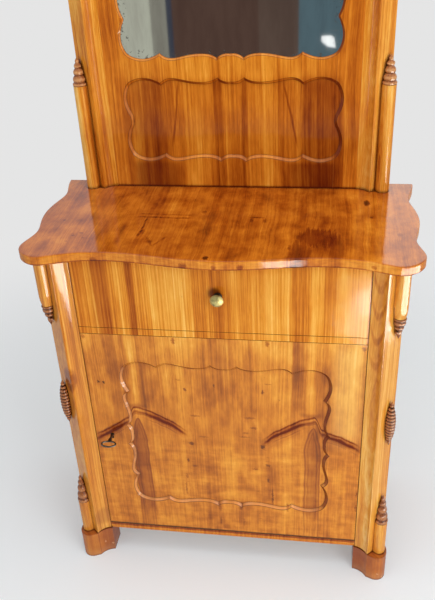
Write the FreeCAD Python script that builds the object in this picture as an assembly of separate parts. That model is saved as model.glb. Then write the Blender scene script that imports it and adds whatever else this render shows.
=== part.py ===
import FreeCAD, Part
import math
import os
from FreeCAD import Vector

os.makedirs("parts", exist_ok=True)

# Cherry-veneered pier chiffonier: a one-door cupboard with a drawer under a serpentine top,
# and a mirror upstand on the back of that top.  Millimetres, +Z up.  The origin is on the
# floor under the middle of the table top; the door and the mirror face -Y.

# ---------------------------------------------------------------- driving dimensions

# Table top
TOP_WIDTH = 792.0
TOP_DEPTH = 384.0
TOP_THICK = 20.0
TOP_HEIGHT = 866.0
TOP_ARRIS = 3.0
LOBE_OVERHANG = 46.5          # corner lobes in front of the door face

# Case
TOP_OVERHANG = 31.5           # top past the sides of the case
CASE_BACK_INSET = 7.5         # case back in front of the top's back edge
POST_WIDTH = 63.75            # corner post, from the opening to the side
SIDE_THICK = 18.0
POST_DEPTH = 22.0             # post behind the door face
POST_PROUD = 24.5             # arris of the post in front of the door face
POST_COVE = 28.3              # width of the cove beside the door
COVE_HOLLOW = 4.5
CANT_RUN = 34.5               # canted corner, front to back
FOOT_HEIGHT = 75.0
FOOT_PROUD = 3.0
FOOT_LOBE_RADIUS = 23.3
FOOT_DEPTH = 45.0             # foot behind the door face
BASE_RAIL = 16.0
DIVIDER_RAIL = 15.5
DIVIDER_DEPTH = 60.0
BACK_BOARD = 8.0
BOTTOM_BOARD = 12.0
DUST_BOARD = 6.0
SHELF_THICK = 16.0
SHELF_DROP = 4.0              # underside of the shelf below the middle of the door
SHELF_SETBACK = 42.0
SHELF_PLAY = 1.0
CLEAT_WIDTH = 18.0
CLEAT_HEIGHT = 20.0
RUNNER_WIDTH = 61.0
GUIDE_HEIGHT = 30.0
KICKER_HEIGHT = 18.0

# Door
FRONT_GAP = 1.0               # gap round the door and round the drawer front
DOOR_THICK = 22.0
OVERLAY = 6.0                 # fretted layer that frames the sunk fields
DOOR_FIELD_SIDE = 69.75       # plain border of the door beside its sunk field
DOOR_FIELD_BELOW = 84.0
DOOR_FIELD_ABOVE = 68.0
DOOR_FIELD_SHIFT = 3.0        # the hand-cut field sits a little to the right
BEVEL = 6.5

# Pivot hinges
PIVOT_FROM_EDGE = 10.0
PIVOT_FROM_FACE = 4.0
PIN_RADIUS = 2.0
PIN_PLAY = 0.05
HINGE_PLATE = 3.0
HINGE_LENGTH = 46.0
HINGE_WIDTH = 11.0

# Lock and key
KEY_FROM_EDGE = 37.75
KEY_RISE = 7.0                # key above the middle of the door
LOCK_HEIGHT = 58.0
LOCK_LENGTH = 62.0
LOCK_DEPTH = 13.0
LOCK_WALL = 1.5
BOLT_HEIGHT = 10.0
BOLT_THICK = 4.5
BOLT_THROW = 8.0
BOLT_PLAY = 0.15
BOLT_RISE = 7.0               # underside of the bolt above the key's axis
BIT_REACH = 9.5
BIT_WIDTH = 5.0
BIT_THICK = 2.4
SHANK_RADIUS = 2.7
SHANK_PLAY = 0.08
KEY_PROUD = 45.0              # end of the bow in front of the door face
BOW_WIDTH = 36.0
BOW_DEPTH = 22.0
BOW_WIRE = 2.0
STRIKER_THICK = 1.5
STRIKER_HEIGHT = 46.0
MORTISE_DEPTH = 12.0

# Drawer
DRAWER_HEIGHT = 167.5         # drawer front
DRAWER_FRONT = 22.0
DRAWER_SIDE = 10.0
DRAWER_SIDE_DROP = 18.2       # drawer sides below the top of the front
DRAWER_STOP = 17.0            # stop blocks behind the drawer
DRAWER_BOTTOM = 6.0
DRAWER_GROOVE = 5.0
DRAWER_BOTTOM_RISE = 12.0
DRAWER_RUN = 0.3              # drawer sides above their runners
DRAWER_SIDE_PLAY = 0.5
KNOB_RISE = 1.75              # knob above the middle of the drawer front
KNOB_RADIUS = 13.8
KNOB_PROJECTION = 25.0
KNOB_SCREW = 2.5

# Split turnings on the canted corners
COLUMN_RADIUS = 14.5
COLUMN_STILT = 5.9            # turning axis in front of the canted face
COLUMN_SHIFT = 8.6            # turning axis beyond the middle of the canted face
HANGING_COLUMN = 113.0
DROP_LENGTH = 51.0
STANDING_COLUMN = 97.0
FINIAL_HEIGHT = 82.0
SPINDLE_RADIUS = 11.6
SPINDLE_HALF = 60.5
SPINDLE_RIGHT_DROP = 3.5      # spindle below the middle between its finial and its drop
SPINDLE_LEFT_RISE = 9.5       # glued on a little higher than its fellow

# Mirror upstand
UPPER_FACE_DEPTH = 30.5       # flat face in front of the top's back edge
UPPER_HEIGHT = 964.0          # posts of the upstand
UPPER_INSET = 64.5            # upper posts inside the sides of the top
UPPER_POST_WIDTH = 61.5
UPPER_PROUD = 17.0
UPPER_COVE = 28.0
UPPER_CANT_RUN = 23.0
UPPER_STILT = 8.0
UPPER_COLUMN = 234.0
UPPER_FINIAL = 60.0
UPPER_HANGING = 120.0
STILE_WIDTH = 51.0
FIELD_SIDE = 34.0             # plain border beside the upstand's sunk field
FIELD_RISE = 60.0             # sunk field above the table top
FIELD_HEIGHT = 187.0
MIRROR_SIDE = 37.0
MIRROR_RISE = 281.5           # mirror opening above the table top
MIRROR_ABOVE = 60.5           # frame above the mirror opening
MIRROR_BEVEL = 4.0
MIRROR_LAP = 12.0             # glass hidden behind the fretted frame
GLASS_THICK = 4.0
BACKING = 12.0                # field board, or glass with its backing board
UPPER_BACK = 8.0
RAIL_LAP = 9.0                # rails reach past the cusps of the fields

# Cornice and crest
COVE_HEIGHT = 20.0
COVE_PROUD = 7.0
CORNICE_SPREAD = 42.5         # cornice past the sides of the upper posts
CORNICE_DEPTH = 86.0
CORNICE_THICK = 18.0
CREST_INSET = 74.0            # crest inside the ends of the cornice
CREST_HEIGHT = 122.0
CREST_THICK = 20.0
ROSETTE_RADIUS = 24.0
ROSETTE_THICK = 9.0

# ---------------------------------------------------------------- derived places

TOP_FRONT = -TOP_DEPTH / 2
TOP_BACK = TOP_DEPTH / 2
FACE_Y = TOP_FRONT + LOBE_OVERHANG
CASE_TOP = TOP_HEIGHT - TOP_THICK
CASE_BACK = TOP_BACK - CASE_BACK_INSET
INNER_BACK = CASE_BACK - BACK_BOARD
SIDE_X = TOP_WIDTH / 2 - TOP_OVERHANG
SIDE_IN = SIDE_X - SIDE_THICK
POST_IN = SIDE_X - POST_WIDTH         # half the width of the opening between the posts
POST_BACK = FACE_Y + POST_DEPTH

BASE_TOP = FOOT_HEIGHT + BASE_RAIL
DOOR_LOW = BASE_TOP + FRONT_GAP
DRAWER_HIGH = CASE_TOP - FRONT_GAP
DRAWER_LOW = DRAWER_HIGH - DRAWER_HEIGHT
DIVIDER_TOP = DRAWER_LOW - FRONT_GAP
DIVIDER_LOW = DIVIDER_TOP - DIVIDER_RAIL
DOOR_HIGH = DIVIDER_LOW - FRONT_GAP
DOOR_MIDDLE = (DOOR_LOW + DOOR_HIGH) / 2
SHELF_HEIGHT = DOOR_MIDDLE - SHELF_DROP
FRONT_HALF = POST_IN - FRONT_GAP      # half the width of the door and of the drawer front
DOOR_BACK = FACE_Y + DOOR_THICK
CORE_Y = FACE_Y + OVERLAY
DOOR_FIELD_HALF_WIDTH = FRONT_HALF - DOOR_FIELD_SIDE
DOOR_FIELD_HALF_HEIGHT = (DOOR_HIGH - DOOR_LOW - DOOR_FIELD_BELOW - DOOR_FIELD_ABOVE) / 2
DOOR_FIELD_CENTRE = DOOR_LOW + DOOR_FIELD_BELOW + DOOR_FIELD_HALF_HEIGHT
KEY_X = KEY_FROM_EDGE - FRONT_HALF
KEY_Z = DOOR_MIDDLE + KEY_RISE
KNOB_Z = (DRAWER_LOW + DRAWER_HIGH) / 2 + KNOB_RISE

PIVOT_X = FRONT_HALF - PIVOT_FROM_EDGE
PIVOT_Y = FACE_Y + PIVOT_FROM_FACE

UPPER_FACE = TOP_BACK - UPPER_FACE_DEPTH
UPPER_TOP = TOP_HEIGHT + UPPER_HEIGHT
UPPER_HALF_WIDTH = TOP_WIDTH / 2 - UPPER_INSET
UPPER_INNER = UPPER_HALF_WIDTH - UPPER_POST_WIDTH     # half the width between the upper posts
UPPER_BOARD_Y = UPPER_FACE + OVERLAY
UPPER_BACK_Y = UPPER_BOARD_Y + BACKING
STILE_IN = UPPER_INNER - STILE_WIDTH
CORNICE_Z = UPPER_TOP + COVE_HEIGHT
CREST_Z = CORNICE_Z + CORNICE_THICK
CORNICE_HALF_WIDTH = UPPER_HALF_WIDTH + CORNICE_SPREAD
CREST_HALF_WIDTH = CORNICE_HALF_WIDTH - CREST_INSET
FIELD_HALF_WIDTH = UPPER_INNER - FIELD_SIDE
FIELD_LOW = TOP_HEIGHT + FIELD_RISE
FIELD_HIGH = FIELD_LOW + FIELD_HEIGHT
MIRROR_HALF_WIDTH = UPPER_INNER - MIRROR_SIDE
MIRROR_LOW = TOP_HEIGHT + MIRROR_RISE
MIRROR_HIGH = UPPER_TOP - MIRROR_ABOVE

# ---------------------------------------------------------------- helpers


def box(x0, x1, y0, y1, z0, z1):
    return Part.makeBox(x1 - x0, y1 - y0, z1 - z0, Vector(x0, y0, z0))


def rod(radius, x, y, z0, z1):
    return Part.makeCylinder(radius, z1 - z0, Vector(x, y, z0))


def rod_y(radius, x, z, y0, y1):
    return Part.makeCylinder(radius, y1 - y0, Vector(x, y0, z), Vector(0, 1, 0))


def path(start, *steps, arcs=True):
    """Wire from start: a step of one point is a line, of two an arc, of more a curve."""
    edges = []
    here = Vector(*start)
    for step in steps:
        points = [Vector(*point) for point in step]
        if len(points) == 1:
            curve = Part.LineSegment(here, points[0])
        elif len(points) == 2 and arcs:
            curve = Part.Arc(here, points[0], points[1])
        else:
            curve = Part.BSplineCurve()
            curve.interpolate([here] + points)
        edges.append(curve.toShape())
        here = points[-1]
    return Part.Wire(edges)


def prism(wire, direction):
    return Part.Face(wire).extrude(direction)


def mirrored(shape):
    return shape.mirror(Vector(0, 0, 0), Vector(1, 0, 0))


def both(shape):
    return Part.makeCompound([shape, mirrored(shape)])


def save(name, shape):
    if not shape.isValid():
        raise ValueError(name + " is not a valid solid")
    shape.exportStep("parts/" + name + ".step")


def save_pair(name, shape):
    save(name + "_right", shape)
    save(name + "_left", mirrored(shape))


# ---------------------------------------------------------------- sunk fields

LOBE = 28.0                   # outward cusps on either side of the middle
CUSP_REACH = 84.0             # inward cusps from the corner of a field
CUSP_INSET = 11.0
# A corner lobe, from its cusp on one side to the middle of the lobe, then mirrored
# (inset along, inset in, as shares of the reach of its cusps).
HALF_LOBE = [(0.762, 0.03), (0.536, 0.0), (0.321, 0.042), (0.143, 0.143)]
HALF_CORNER = [(CUSP_REACH, CUSP_INSET)] + [(along * CUSP_REACH, inset * CUSP_REACH)
                                            for along, inset in HALF_LOBE]
CORNER = HALF_CORNER + [(along, inset) for inset, along in reversed(HALF_CORNER[:-1])]
# Half a side, from the outward cusp to the inward one (share of the way, share of the inset).
WAVE = [(0.0, 0.0), (0.08, 0.5), (0.26, 0.864), (0.6, 0.409), (0.85, 0.109), (1.0, 1.0)]
LOBE_INSET = 9.0
WAIST_INSET = 13.0


def half_side(reach):
    """Points (along, inset) of half a side, from its middle to its corner cusp."""
    if reach <= LOBE:
        return [[(0.0, WAIST_INSET), (reach, CUSP_INSET)]]
    lobe = [(0.0, LOBE_INSET), (0.6 * LOBE, 0.8 * LOBE_INSET), (LOBE, 0.0)]
    wave = [(LOBE + share * (reach - LOBE), inset * CUSP_INSET) for share, inset in WAVE]
    return [lobe, wave]


def quarter(half_width, half_height):
    """Runs of points of the upper right quarter, from the middle top to the right middle."""
    top = [[(along, half_height - inset) for along, inset in run]
           for run in half_side(half_width - CUSP_REACH)]
    corner = [(half_width - along, half_height - inset) for along, inset in CORNER]
    side = [[(half_width - inset, along) for along, inset in reversed(run)]
            for run in reversed(half_side(half_height - CUSP_REACH))]
    return top + [corner] + side


def all_runs(half_width, half_height):
    first = quarter(half_width, half_height)
    down = [[(x, -z) for x, z in reversed(run)] for run in reversed(first)]
    right = first + down
    left = [[(-x, z) for x, z in reversed(run)] for run in reversed(right)]
    return right + left


def moved_in(runs, inset):
    """The same runs, moved in by an even border; cusps move along their middle line."""
    flat = [point for run in runs for point in run[:-1]]
    starts = []
    count = 0
    for run in runs:
        starts.append(count)
        count += len(run) - 1
    shifted = []
    for index, here in enumerate(flat):
        before = flat[index - 1]
        after = flat[(index + 1) % count]
        one = Vector(here[0] - before[0], here[1] - before[1], 0).normalize()
        two = Vector(after[0] - here[0], after[1] - here[1], 0).normalize()
        along = (one + two).normalize()
        stretch = min(1.0 / max(along.dot(one), 0.1), 1.25)
        shifted.append((here[0] + along.y * inset * stretch, here[1] - along.x * inset * stretch))
    result = []
    for start, run in zip(starts, runs):
        result.append([shifted[(start + step) % count] for step in range(len(run))])
    return result


def field_wire(runs, x, y, z):
    edges = []
    for run in runs:
        points = [Vector(x + along, y, z + up) for along, up in run]
        if len(points) == 2:
            curve = Part.LineSegment(points[0], points[1])
        else:
            curve = Part.BSplineCurve()
            curve.interpolate(points)
        edges.append(curve.toShape())
    return Part.Wire(edges)


def sunk_field(half_width, low, high, face, bevel, shift=0.0):
    """Cutter for a bevelled opening through the fretted layer that starts at face."""
    centre = (low + high) / 2
    runs = all_runs(half_width, (high - low) / 2)
    front = field_wire(runs, shift, face, centre)
    back = field_wire(moved_in(runs, bevel), shift, face + OVERLAY, centre)
    return Part.makeLoft([front, back], True, True)


# ---------------------------------------------------------------- canted corners


class Corner:
    """A post's canted face, seen in plan, with the axis of the turnings glued to it."""

    def __init__(self, arris, edge, stilt, shift):
        self.stilt = stilt
        along = Vector(edge[0] - arris[0], edge[1] - arris[1], 0).normalize()
        out = Vector(along.y, -along.x, 0)
        middle = Vector((arris[0] + edge[0]) / 2, (arris[1] + edge[1]) / 2, 0)
        self.axis = middle + along * shift + out * stilt
        self.turn = math.degrees(math.atan2(out.x, -out.y))

    def seat(self, turned, z):
        """Split a turning made round the local Z axis and seat it on the canted face."""
        reach = 200.0
        behind = box(-reach, reach, self.stilt, reach, -reach, 2 * reach)
        half = turned.cut(behind)
        half.rotate(Vector(0, 0, 0), Vector(0, 0, 1), self.turn)
        half.translate(self.axis + Vector(0, 0, z))
        return half


def turned(start, *steps):
    """Turning about Z from its half profile of (radius, height) points, all of it curves."""
    def lift(point):
        return (point[0], 0, point[1])
    outline = path(lift(start), *[[lift(point) for point in step] for step in steps], arcs=False)
    low = min(vertex.Z for vertex in outline.Vertexes)
    high = max(vertex.Z for vertex in outline.Vertexes)
    axis = Part.LineSegment(Vector(0, 0, high), Vector(0, 0, low)).toShape()
    face = Part.Face(Part.Wire(Part.__sortEdges__(outline.Edges + [axis])))
    return face.revolve(Vector(0, 0, 0), Vector(0, 0, 1), 360)


def column_section(radius, stilt):
    """Stilted half round, its flat back at y = stilt."""
    return path((-radius, stilt, 0), [(-radius, 0, 0)], [(0, -radius, 0), (radius, 0, 0)],
                [(radius, stilt, 0)], [(-radius, stilt, 0)])


def standing_column(length, stilt):
    return prism(column_section(COLUMN_RADIUS, stilt), Vector(0, 0, length))


def hanging_column(length, stilt):
    """Half round whose foot is rounded in to the drop below it; its top is at z = 0."""
    waist = COLUMN_RADIUS - 3.0
    taper = 26.0
    upper = prism(column_section(COLUMN_RADIUS, stilt), Vector(0, 0, length - taper))
    upper.translate(Vector(0, 0, taper - length))
    bowl = turned((0, 0), [(waist, 0)], [(COLUMN_RADIUS - 0.8, 12), (COLUMN_RADIUS, taper)],
                  [(0, taper)])
    bowl.translate(Vector(0, 0, -length))
    web = box(-waist, waist, 0, stilt, -length, taper - length)
    return upper.fuse([bowl, web]).removeSplitter()


def beads(radius, offset, z):
    left = Part.makeSphere(radius, Vector(-offset, 0, z))
    right = Part.makeSphere(radius, Vector(offset, 0, z))
    return [left, right]


def drop(length):
    """Turned drop under a hanging half column; its top is at z = 0."""
    k = length / 52.0
    body = turned((0, 0), [(12.4, 0)], [(13.4, -2.5 * k), (12.4, -5 * k)], [(10.8, -6.5 * k)],
                  [(12.4, -12 * k), (9.6, -18 * k)], [(8.2, -19.5 * k)],
                  [(9.4, -24 * k), (6.4, -29 * k)], [(4.6, -31 * k)],
                  [(5.4, -38 * k), (3.2, -44 * k)], [(0, -52 * k)])
    return body.fuse(beads(3.6, 5.6, -34 * k))


def finial(height):
    """Turned finial that stands on a half column; its base is at z = 0."""
    k = height / 82.0
    body = turned((0, 0), [(14.2, 0)], [(15.2, 4 * k), (14.2, 8 * k)], [(12.0, 10.5 * k)],
                  [(13.4, 19 * k), (10.4, 28 * k)], [(9.0, 30.5 * k)],
                  [(10.8, 39 * k), (7.8, 48 * k)], [(6.4, 50.5 * k)],
                  [(7.6, 57 * k), (4.8, 64 * k)], [(3.8, 66 * k)],
                  [(4.2, 71 * k), (2.4, 76 * k)], [(0, 82 * k)])
    return body.fuse(beads(3.8, 5.6, 57 * k))


def spindle():
    """Ribbed spindle with a bead and a tip at each end, centred on z = 0."""
    ribs = 11
    rib = 8.0
    half_ribs = ribs * rib / 2
    steps = []
    for index in range(ribs):
        middle = -half_ribs + (index + 0.5) * rib
        swell = SPINDLE_RADIUS * math.sqrt(1 - (middle / (1.12 * half_ribs)) ** 2)
        valley = swell - 1.6
        steps.append([(valley, middle - rib / 2)])
        steps.append([(swell, middle), (valley, middle + rib / 2)])
    neck = 2.6
    bead = 4.6
    tip = SPINDLE_HALF - half_ribs
    lower = [[(neck, -half_ribs - 0.55 * tip)], [(bead, -half_ribs - 0.3 * tip), (neck, -half_ribs)]]
    upper = [[(neck, half_ribs)], [(bead, half_ribs + 0.3 * tip), (neck, half_ribs + 0.55 * tip)],
             [(0, SPINDLE_HALF)]]
    return turned((0, -SPINDLE_HALF), *(lower + steps + upper))


# ---------------------------------------------------------------- posts and feet

ARRIS_X = POST_IN + POST_COVE
ARRIS = (ARRIS_X, FACE_Y - POST_PROUD)
EDGE = (SIDE_X, ARRIS[1] + CANT_RUN)
LOWER_CORNER = Corner(ARRIS, EDGE, COLUMN_STILT, COLUMN_SHIFT)

UPPER_ARRIS = (UPPER_INNER + UPPER_COVE, UPPER_FACE - UPPER_PROUD)
UPPER_EDGE = (UPPER_HALF_WIDTH, UPPER_ARRIS[1] + UPPER_CANT_RUN)
UPPER_CORNER = Corner(UPPER_ARRIS, UPPER_EDGE, UPPER_STILT, COLUMN_SHIFT)


def post_section(inner, face, arris, edge, back):
    """Cove beside the panel, canted corner, then straight back along the side."""
    chord = Vector(arris[0] - inner, arris[1] - face, 0)
    inward = Vector(-chord.y, chord.x, 0).normalize()
    hollow = Vector((inner + arris[0]) / 2, (face + arris[1]) / 2, 0) + inward * COVE_HOLLOW
    return path((inner, face, 0), [(hollow.x, hollow.y, 0), (arris[0], arris[1], 0)],
                [(edge[0], edge[1], 0)], [(edge[0], back, 0)], [(inner, back, 0)],
                [(inner, face, 0)])


def corner_post():
    section = post_section(POST_IN, FACE_Y - 1.5, ARRIS, EDGE, POST_BACK)
    post = prism(section, Vector(0, 0, CASE_TOP - FOOT_HEIGHT))
    post.translate(Vector(0, 0, FOOT_HEIGHT))
    return post


def front_foot():
    inner = POST_IN - FOOT_PROUD
    outer = SIDE_X + FOOT_PROUD
    lobe = Vector(LOWER_CORNER.axis.x - 5.0, LOWER_CORNER.axis.y - 4.9, 0)
    reach = FOOT_LOBE_RADIUS

    def on_lobe(degrees):
        angle = math.radians(degrees)
        return (lobe.x + reach * math.cos(angle), lobe.y + reach * math.sin(angle), 0)

    front = FACE_Y - 4.5
    arris = (ARRIS_X + 0.5, ARRIS[1] - 1.5)
    back = FACE_Y + FOOT_DEPTH
    side_start = lobe.y + reach + 4.0
    section = path((inner, front, 0),
                   [(inner + 0.6 * (arris[0] - inner), front + 0.34 * (arris[1] - front), 0),
                    (arris[0], arris[1], 0)],
                   [on_lobe(246)], [on_lobe(305), on_lobe(2)],
                   [(outer + 4.5, side_start - 7.0, 0), (outer, side_start, 0)],
                   [(outer, back, 0)], [(inner, back, 0)], [(inner, front, 0)])
    return prism(section, Vector(0, 0, FOOT_HEIGHT))


def rear_foot():
    inner = POST_IN - FOOT_PROUD
    block = box(inner, SIDE_X + FOOT_PROUD, CASE_BACK - FOOT_DEPTH, CASE_BACK, 0, FOOT_HEIGHT)
    return block.makeChamfer(2.0, [edge for edge in block.Edges if edge.BoundBox.ZMax < 1e-6])


# ---------------------------------------------------------------- table top

TOP_HALF = TOP_WIDTH / 2
# Half plan of the top as (inset from the side, distance from the back edge) ...
TOP_REAR = [(1.5, 0.0), (9.5, 46.0), (15.5, 80.0), (8.0, 124.0)]
# ... and, from the side bulge forward, (inset from the side, distance from the front edge).
TOP_FORE = [(6.5, 156.0), (13.5, 109.5), (4.0, 70.0), (0.0, 48.0), (10.0, 21.0), (46.0, 0.03),
            (78.0, 8.0), (126.0, 22.0), (181.0, 26.0), (246.0, 20.5), (316.0, 8.5)]
BULGE = (0.8, 0.46)           # side bulge: inset, share of the depth from the back edge
BOW = 1.5                     # middle of the front edge behind the front line


def top_board():
    right = [(TOP_HALF - inset, TOP_BACK - rear) for inset, rear in TOP_REAR]
    right.append((TOP_HALF - BULGE[0], TOP_BACK - BULGE[1] * TOP_DEPTH))
    right += [(TOP_HALF - inset, TOP_FRONT + fore) for inset, fore in TOP_FORE]
    edge = right + [(0.0, TOP_FRONT + BOW)] + [(-x, y) for x, y in reversed(right)]
    outline = path((edge[0][0], edge[0][1], 0), [(x, y, 0) for x, y in edge[1:]],
                   [(edge[0][0], edge[0][1], 0)])
    board = prism(outline, Vector(0, 0, TOP_THICK))
    board.translate(Vector(0, 0, CASE_TOP))
    long_edges = [e for e in board.Edges
                  if e.Length > TOP_WIDTH * 1.2 and e.BoundBox.ZMax - e.BoundBox.ZMin < 1e-3]
    return board.makeFillet(TOP_ARRIS, long_edges)


# ---------------------------------------------------------------- fastenings

DOWEL_RADIUS = 5.0
DOWEL_REACH = 14.0            # in the lower of the two pieces
SCREW_RADIUS = 1.6
SCREW_HEAD = 3.2
SCREW_LENGTH = 12.0

UPPER_DOWELS = [(x, UPPER_FACE + 14.0) for x in (UPPER_INNER + 14.0, UPPER_HALF_WIDTH - 14.0)]
FOOT_DOWELS = [(POST_IN + 16.0, FACE_Y + 10.0), (SIDE_X - 16.0, FACE_Y + 12.0)]


def dowels(places, joint_z):
    return [rod(DOWEL_RADIUS, x, y, joint_z - DOWEL_REACH, joint_z + 1.6 * DOWEL_REACH)
            for x, y in places]


def screw(x, y, z, direction, length=SCREW_LENGTH):
    """Countersunk screw whose head lies flush at x, y, z and which points along direction."""
    head = Part.makeCone(SCREW_HEAD, SCREW_RADIUS, SCREW_RADIUS, Vector(x, y, z), direction)
    shank = Part.makeCylinder(SCREW_RADIUS, length, Vector(x, y, z), direction)
    return head.fuse(shank).removeSplitter()


upper_dowels = dowels(UPPER_DOWELS, TOP_HEIGHT)
foot_dowels = dowels(FOOT_DOWELS, FOOT_HEIGHT)
save("dowels", Part.makeCompound([solid for dowel in upper_dowels + foot_dowels
                                  for solid in (dowel, mirrored(dowel))]))

# ---------------------------------------------------------------- lock, key and bolt

LOCK_LOW = KEY_Z - 0.45 * LOCK_HEIGHT
LOCK_HIGH = LOCK_LOW + LOCK_HEIGHT
LOCK_FRONT = DOOR_BACK - LOCK_DEPTH
LOCK_EDGE = -FRONT_HALF
LOCK_END = LOCK_EDGE + LOCK_LENGTH
FLANGE = 9.0
BOLT_LOW = KEY_Z + BOLT_RISE
BOLT_HIGH = BOLT_LOW + BOLT_HEIGHT
BOLT_BACK = DOOR_BACK - LOCK_WALL - 1.8
BOLT_FRONT = BOLT_BACK - BOLT_THICK
BIT_BACK = BOLT_BACK + 0.3
BOLT_TIP = LOCK_EDGE + 0.5
BOLT_TAIL = LOCK_END - LOCK_WALL - 1.0
SLOT_PLAY = 0.3
KEYHOLE_DROP = BIT_REACH + 1.0


def keyhole(border, y0, y1):
    """Round hole with the slot under it that the bit goes through."""
    hole = rod_y(SHANK_RADIUS + SHANK_PLAY + border, KEY_X, KEY_Z, y0, y1)
    half = BIT_THICK / 2 + SLOT_PLAY + border
    slot = box(KEY_X - half, KEY_X + half, y0, y1, KEY_Z - KEYHOLE_DROP - border, KEY_Z)
    return hole.fuse(slot).removeSplitter()


def bolt_passage(x0, x1, play):
    return box(x0, x1, BOLT_FRONT - play, BOLT_BACK + play, BOLT_LOW - play, BOLT_HIGH + play)


def lock_case():
    shell = box(LOCK_EDGE, LOCK_END, LOCK_FRONT, DOOR_BACK - LOCK_WALL, LOCK_LOW, LOCK_HIGH)
    room = box(LOCK_EDGE + LOCK_WALL, LOCK_END - LOCK_WALL, LOCK_FRONT + LOCK_WALL,
               DOOR_BACK - LOCK_WALL, LOCK_LOW + LOCK_WALL, LOCK_HIGH - LOCK_WALL)
    ledge_x = KEY_X + BIT_REACH + 2.5
    ledge = box(ledge_x, ledge_x + 5.0, LOCK_FRONT + LOCK_WALL, DOOR_BACK - LOCK_WALL,
                LOCK_LOW + LOCK_WALL, BOLT_LOW - BOLT_PLAY)
    case = shell.cut(room).fuse(ledge)
    case = case.cut(bolt_passage(LOCK_EDGE - 1, LOCK_EDGE + LOCK_WALL + 1, BOLT_PLAY))
    return case.cut(keyhole(0.0, LOCK_FRONT - 1, LOCK_FRONT + LOCK_WALL + 1)).removeSplitter()


def lock_screws():
    inset = 7.0
    return [screw(x, DOOR_BACK, z, Vector(0, -1, 0), 10.0)
            for x in (LOCK_EDGE + inset, LOCK_END - inset)
            for z in (LOCK_LOW - FLANGE / 2, LOCK_HIGH + FLANGE / 2)]


def lock_cover():
    return box(LOCK_EDGE, LOCK_END, DOOR_BACK - LOCK_WALL, DOOR_BACK,
               LOCK_LOW - FLANGE, LOCK_HIGH + FLANGE)


def lock_bolt():
    """Bolt with the wide notch that the bit pushes; it is drawn back at rest."""
    bar = bolt_passage(BOLT_TIP, BOLT_TAIL, 0.0)
    notch = box(KEY_X - 2.4, KEY_X + BIT_REACH + 0.9, BOLT_FRONT - 1, BOLT_BACK + 1,
                BOLT_LOW - 1, KEY_Z + BIT_REACH + 0.6)
    return bar.cut(notch)


def lock_spring():
    """Leaf spring that presses on the back of the bolt."""
    leaf = 0.8
    ceiling = LOCK_HIGH - LOCK_WALL
    low = BOLT_HIGH + 0.15
    root = LOCK_END - LOCK_WALL - 4.0
    heel = KEY_X - 4.0
    leaf_plan = path((root, BOLT_FRONT, ceiling), [(root - 2 * leaf, BOLT_FRONT, ceiling)],
                     [(heel + 6, BOLT_FRONT, low + leaf)], [(heel, BOLT_FRONT, low + leaf)],
                     [(heel, BOLT_FRONT, low)], [(heel + 6.2, BOLT_FRONT, low)],
                     [(root, BOLT_FRONT, ceiling)])
    return prism(leaf_plan, Vector(0, BOLT_THICK, 0))


def key():
    """Key turned so that its bit and its bow lie level, the bit pointing to +X."""
    bow_y = FACE_Y - KEY_PROUD + BOW_DEPTH / 2
    long_half = BOW_WIDTH / 2 - BOW_WIRE
    short_half = BOW_DEPTH / 2 - BOW_WIRE
    ring = Part.Ellipse(Vector(KEY_X, bow_y, KEY_Z), long_half, short_half).toShape()
    start = Part.Circle(Vector(KEY_X + long_half, bow_y, KEY_Z), Vector(0, 1, 0), BOW_WIRE)
    bow = Part.Wire(ring).makePipeShell([Part.Wire(start.toShape())], True, True)
    neck_y = bow_y + short_half
    shank = rod_y(SHANK_RADIUS, KEY_X, KEY_Z, neck_y, DOOR_BACK - LOCK_WALL - 0.3)
    collar = rod_y(SHANK_RADIUS + 1.5, KEY_X, KEY_Z, neck_y + 3.0, neck_y + 6.0)
    bead = rod_y(SHANK_RADIUS + 0.8, KEY_X, KEY_Z, neck_y + 7.5, neck_y + 9.0)
    bit = box(KEY_X, KEY_X + BIT_REACH, BIT_BACK - BIT_WIDTH, BIT_BACK,
              KEY_Z - BIT_THICK / 2, KEY_Z + BIT_THICK / 2)
    return bow.fuse([shank, collar, bead, bit]).removeSplitter()


def striker():
    middle = (BOLT_LOW + BOLT_HIGH) / 2
    plate = box(-POST_IN - STRIKER_THICK, -POST_IN, BOLT_FRONT - 3.0, BOLT_BACK + 3.0,
                middle - STRIKER_HEIGHT / 2, middle + STRIKER_HEIGHT / 2)
    return plate


mortise = bolt_passage(-POST_IN - MORTISE_DEPTH, -POST_IN + 1, 2 * SLOT_PLAY)
screws_of_lock = lock_screws()
save("lock_case", lock_case())
save("lock_cover", lock_cover().cut(Part.makeCompound(screws_of_lock)))
save("lock_bolt", lock_bolt())
save("lock_spring", lock_spring())
save("key", key())
save("keyhole_liner", keyhole(1.3, FACE_Y, FACE_Y + 1.5).cut(keyhole(0.0, FACE_Y - 1, FACE_Y + 3)))
save("lock_striker", striker().cut(mortise))

# ---------------------------------------------------------------- pivot hinges

HINGE_FROM = PIVOT_X - HINGE_LENGTH + 6.0


def hinge_plate(z):
    plate = box(HINGE_FROM, PIVOT_X, PIVOT_Y - 0.27 * HINGE_WIDTH,
                PIVOT_Y + 0.73 * HINGE_WIDTH, z, z + HINGE_PLATE)
    eye = box(PIVOT_X, PIVOT_X + 5.0, PIVOT_Y - 0.27 * HINGE_WIDTH,
              PIVOT_Y + 0.5 * HINGE_WIDTH, z, z + HINGE_PLATE)
    return plate.fuse(eye).removeSplitter()


def hinge_screws(z, upwards):
    direction = Vector(0, 0, 1 if upwards else -1)
    middle = PIVOT_Y + 0.25 * HINGE_WIDTH
    return [screw(HINGE_FROM + along, middle, z, direction) for along in (8.0, 26.0)]


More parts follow.
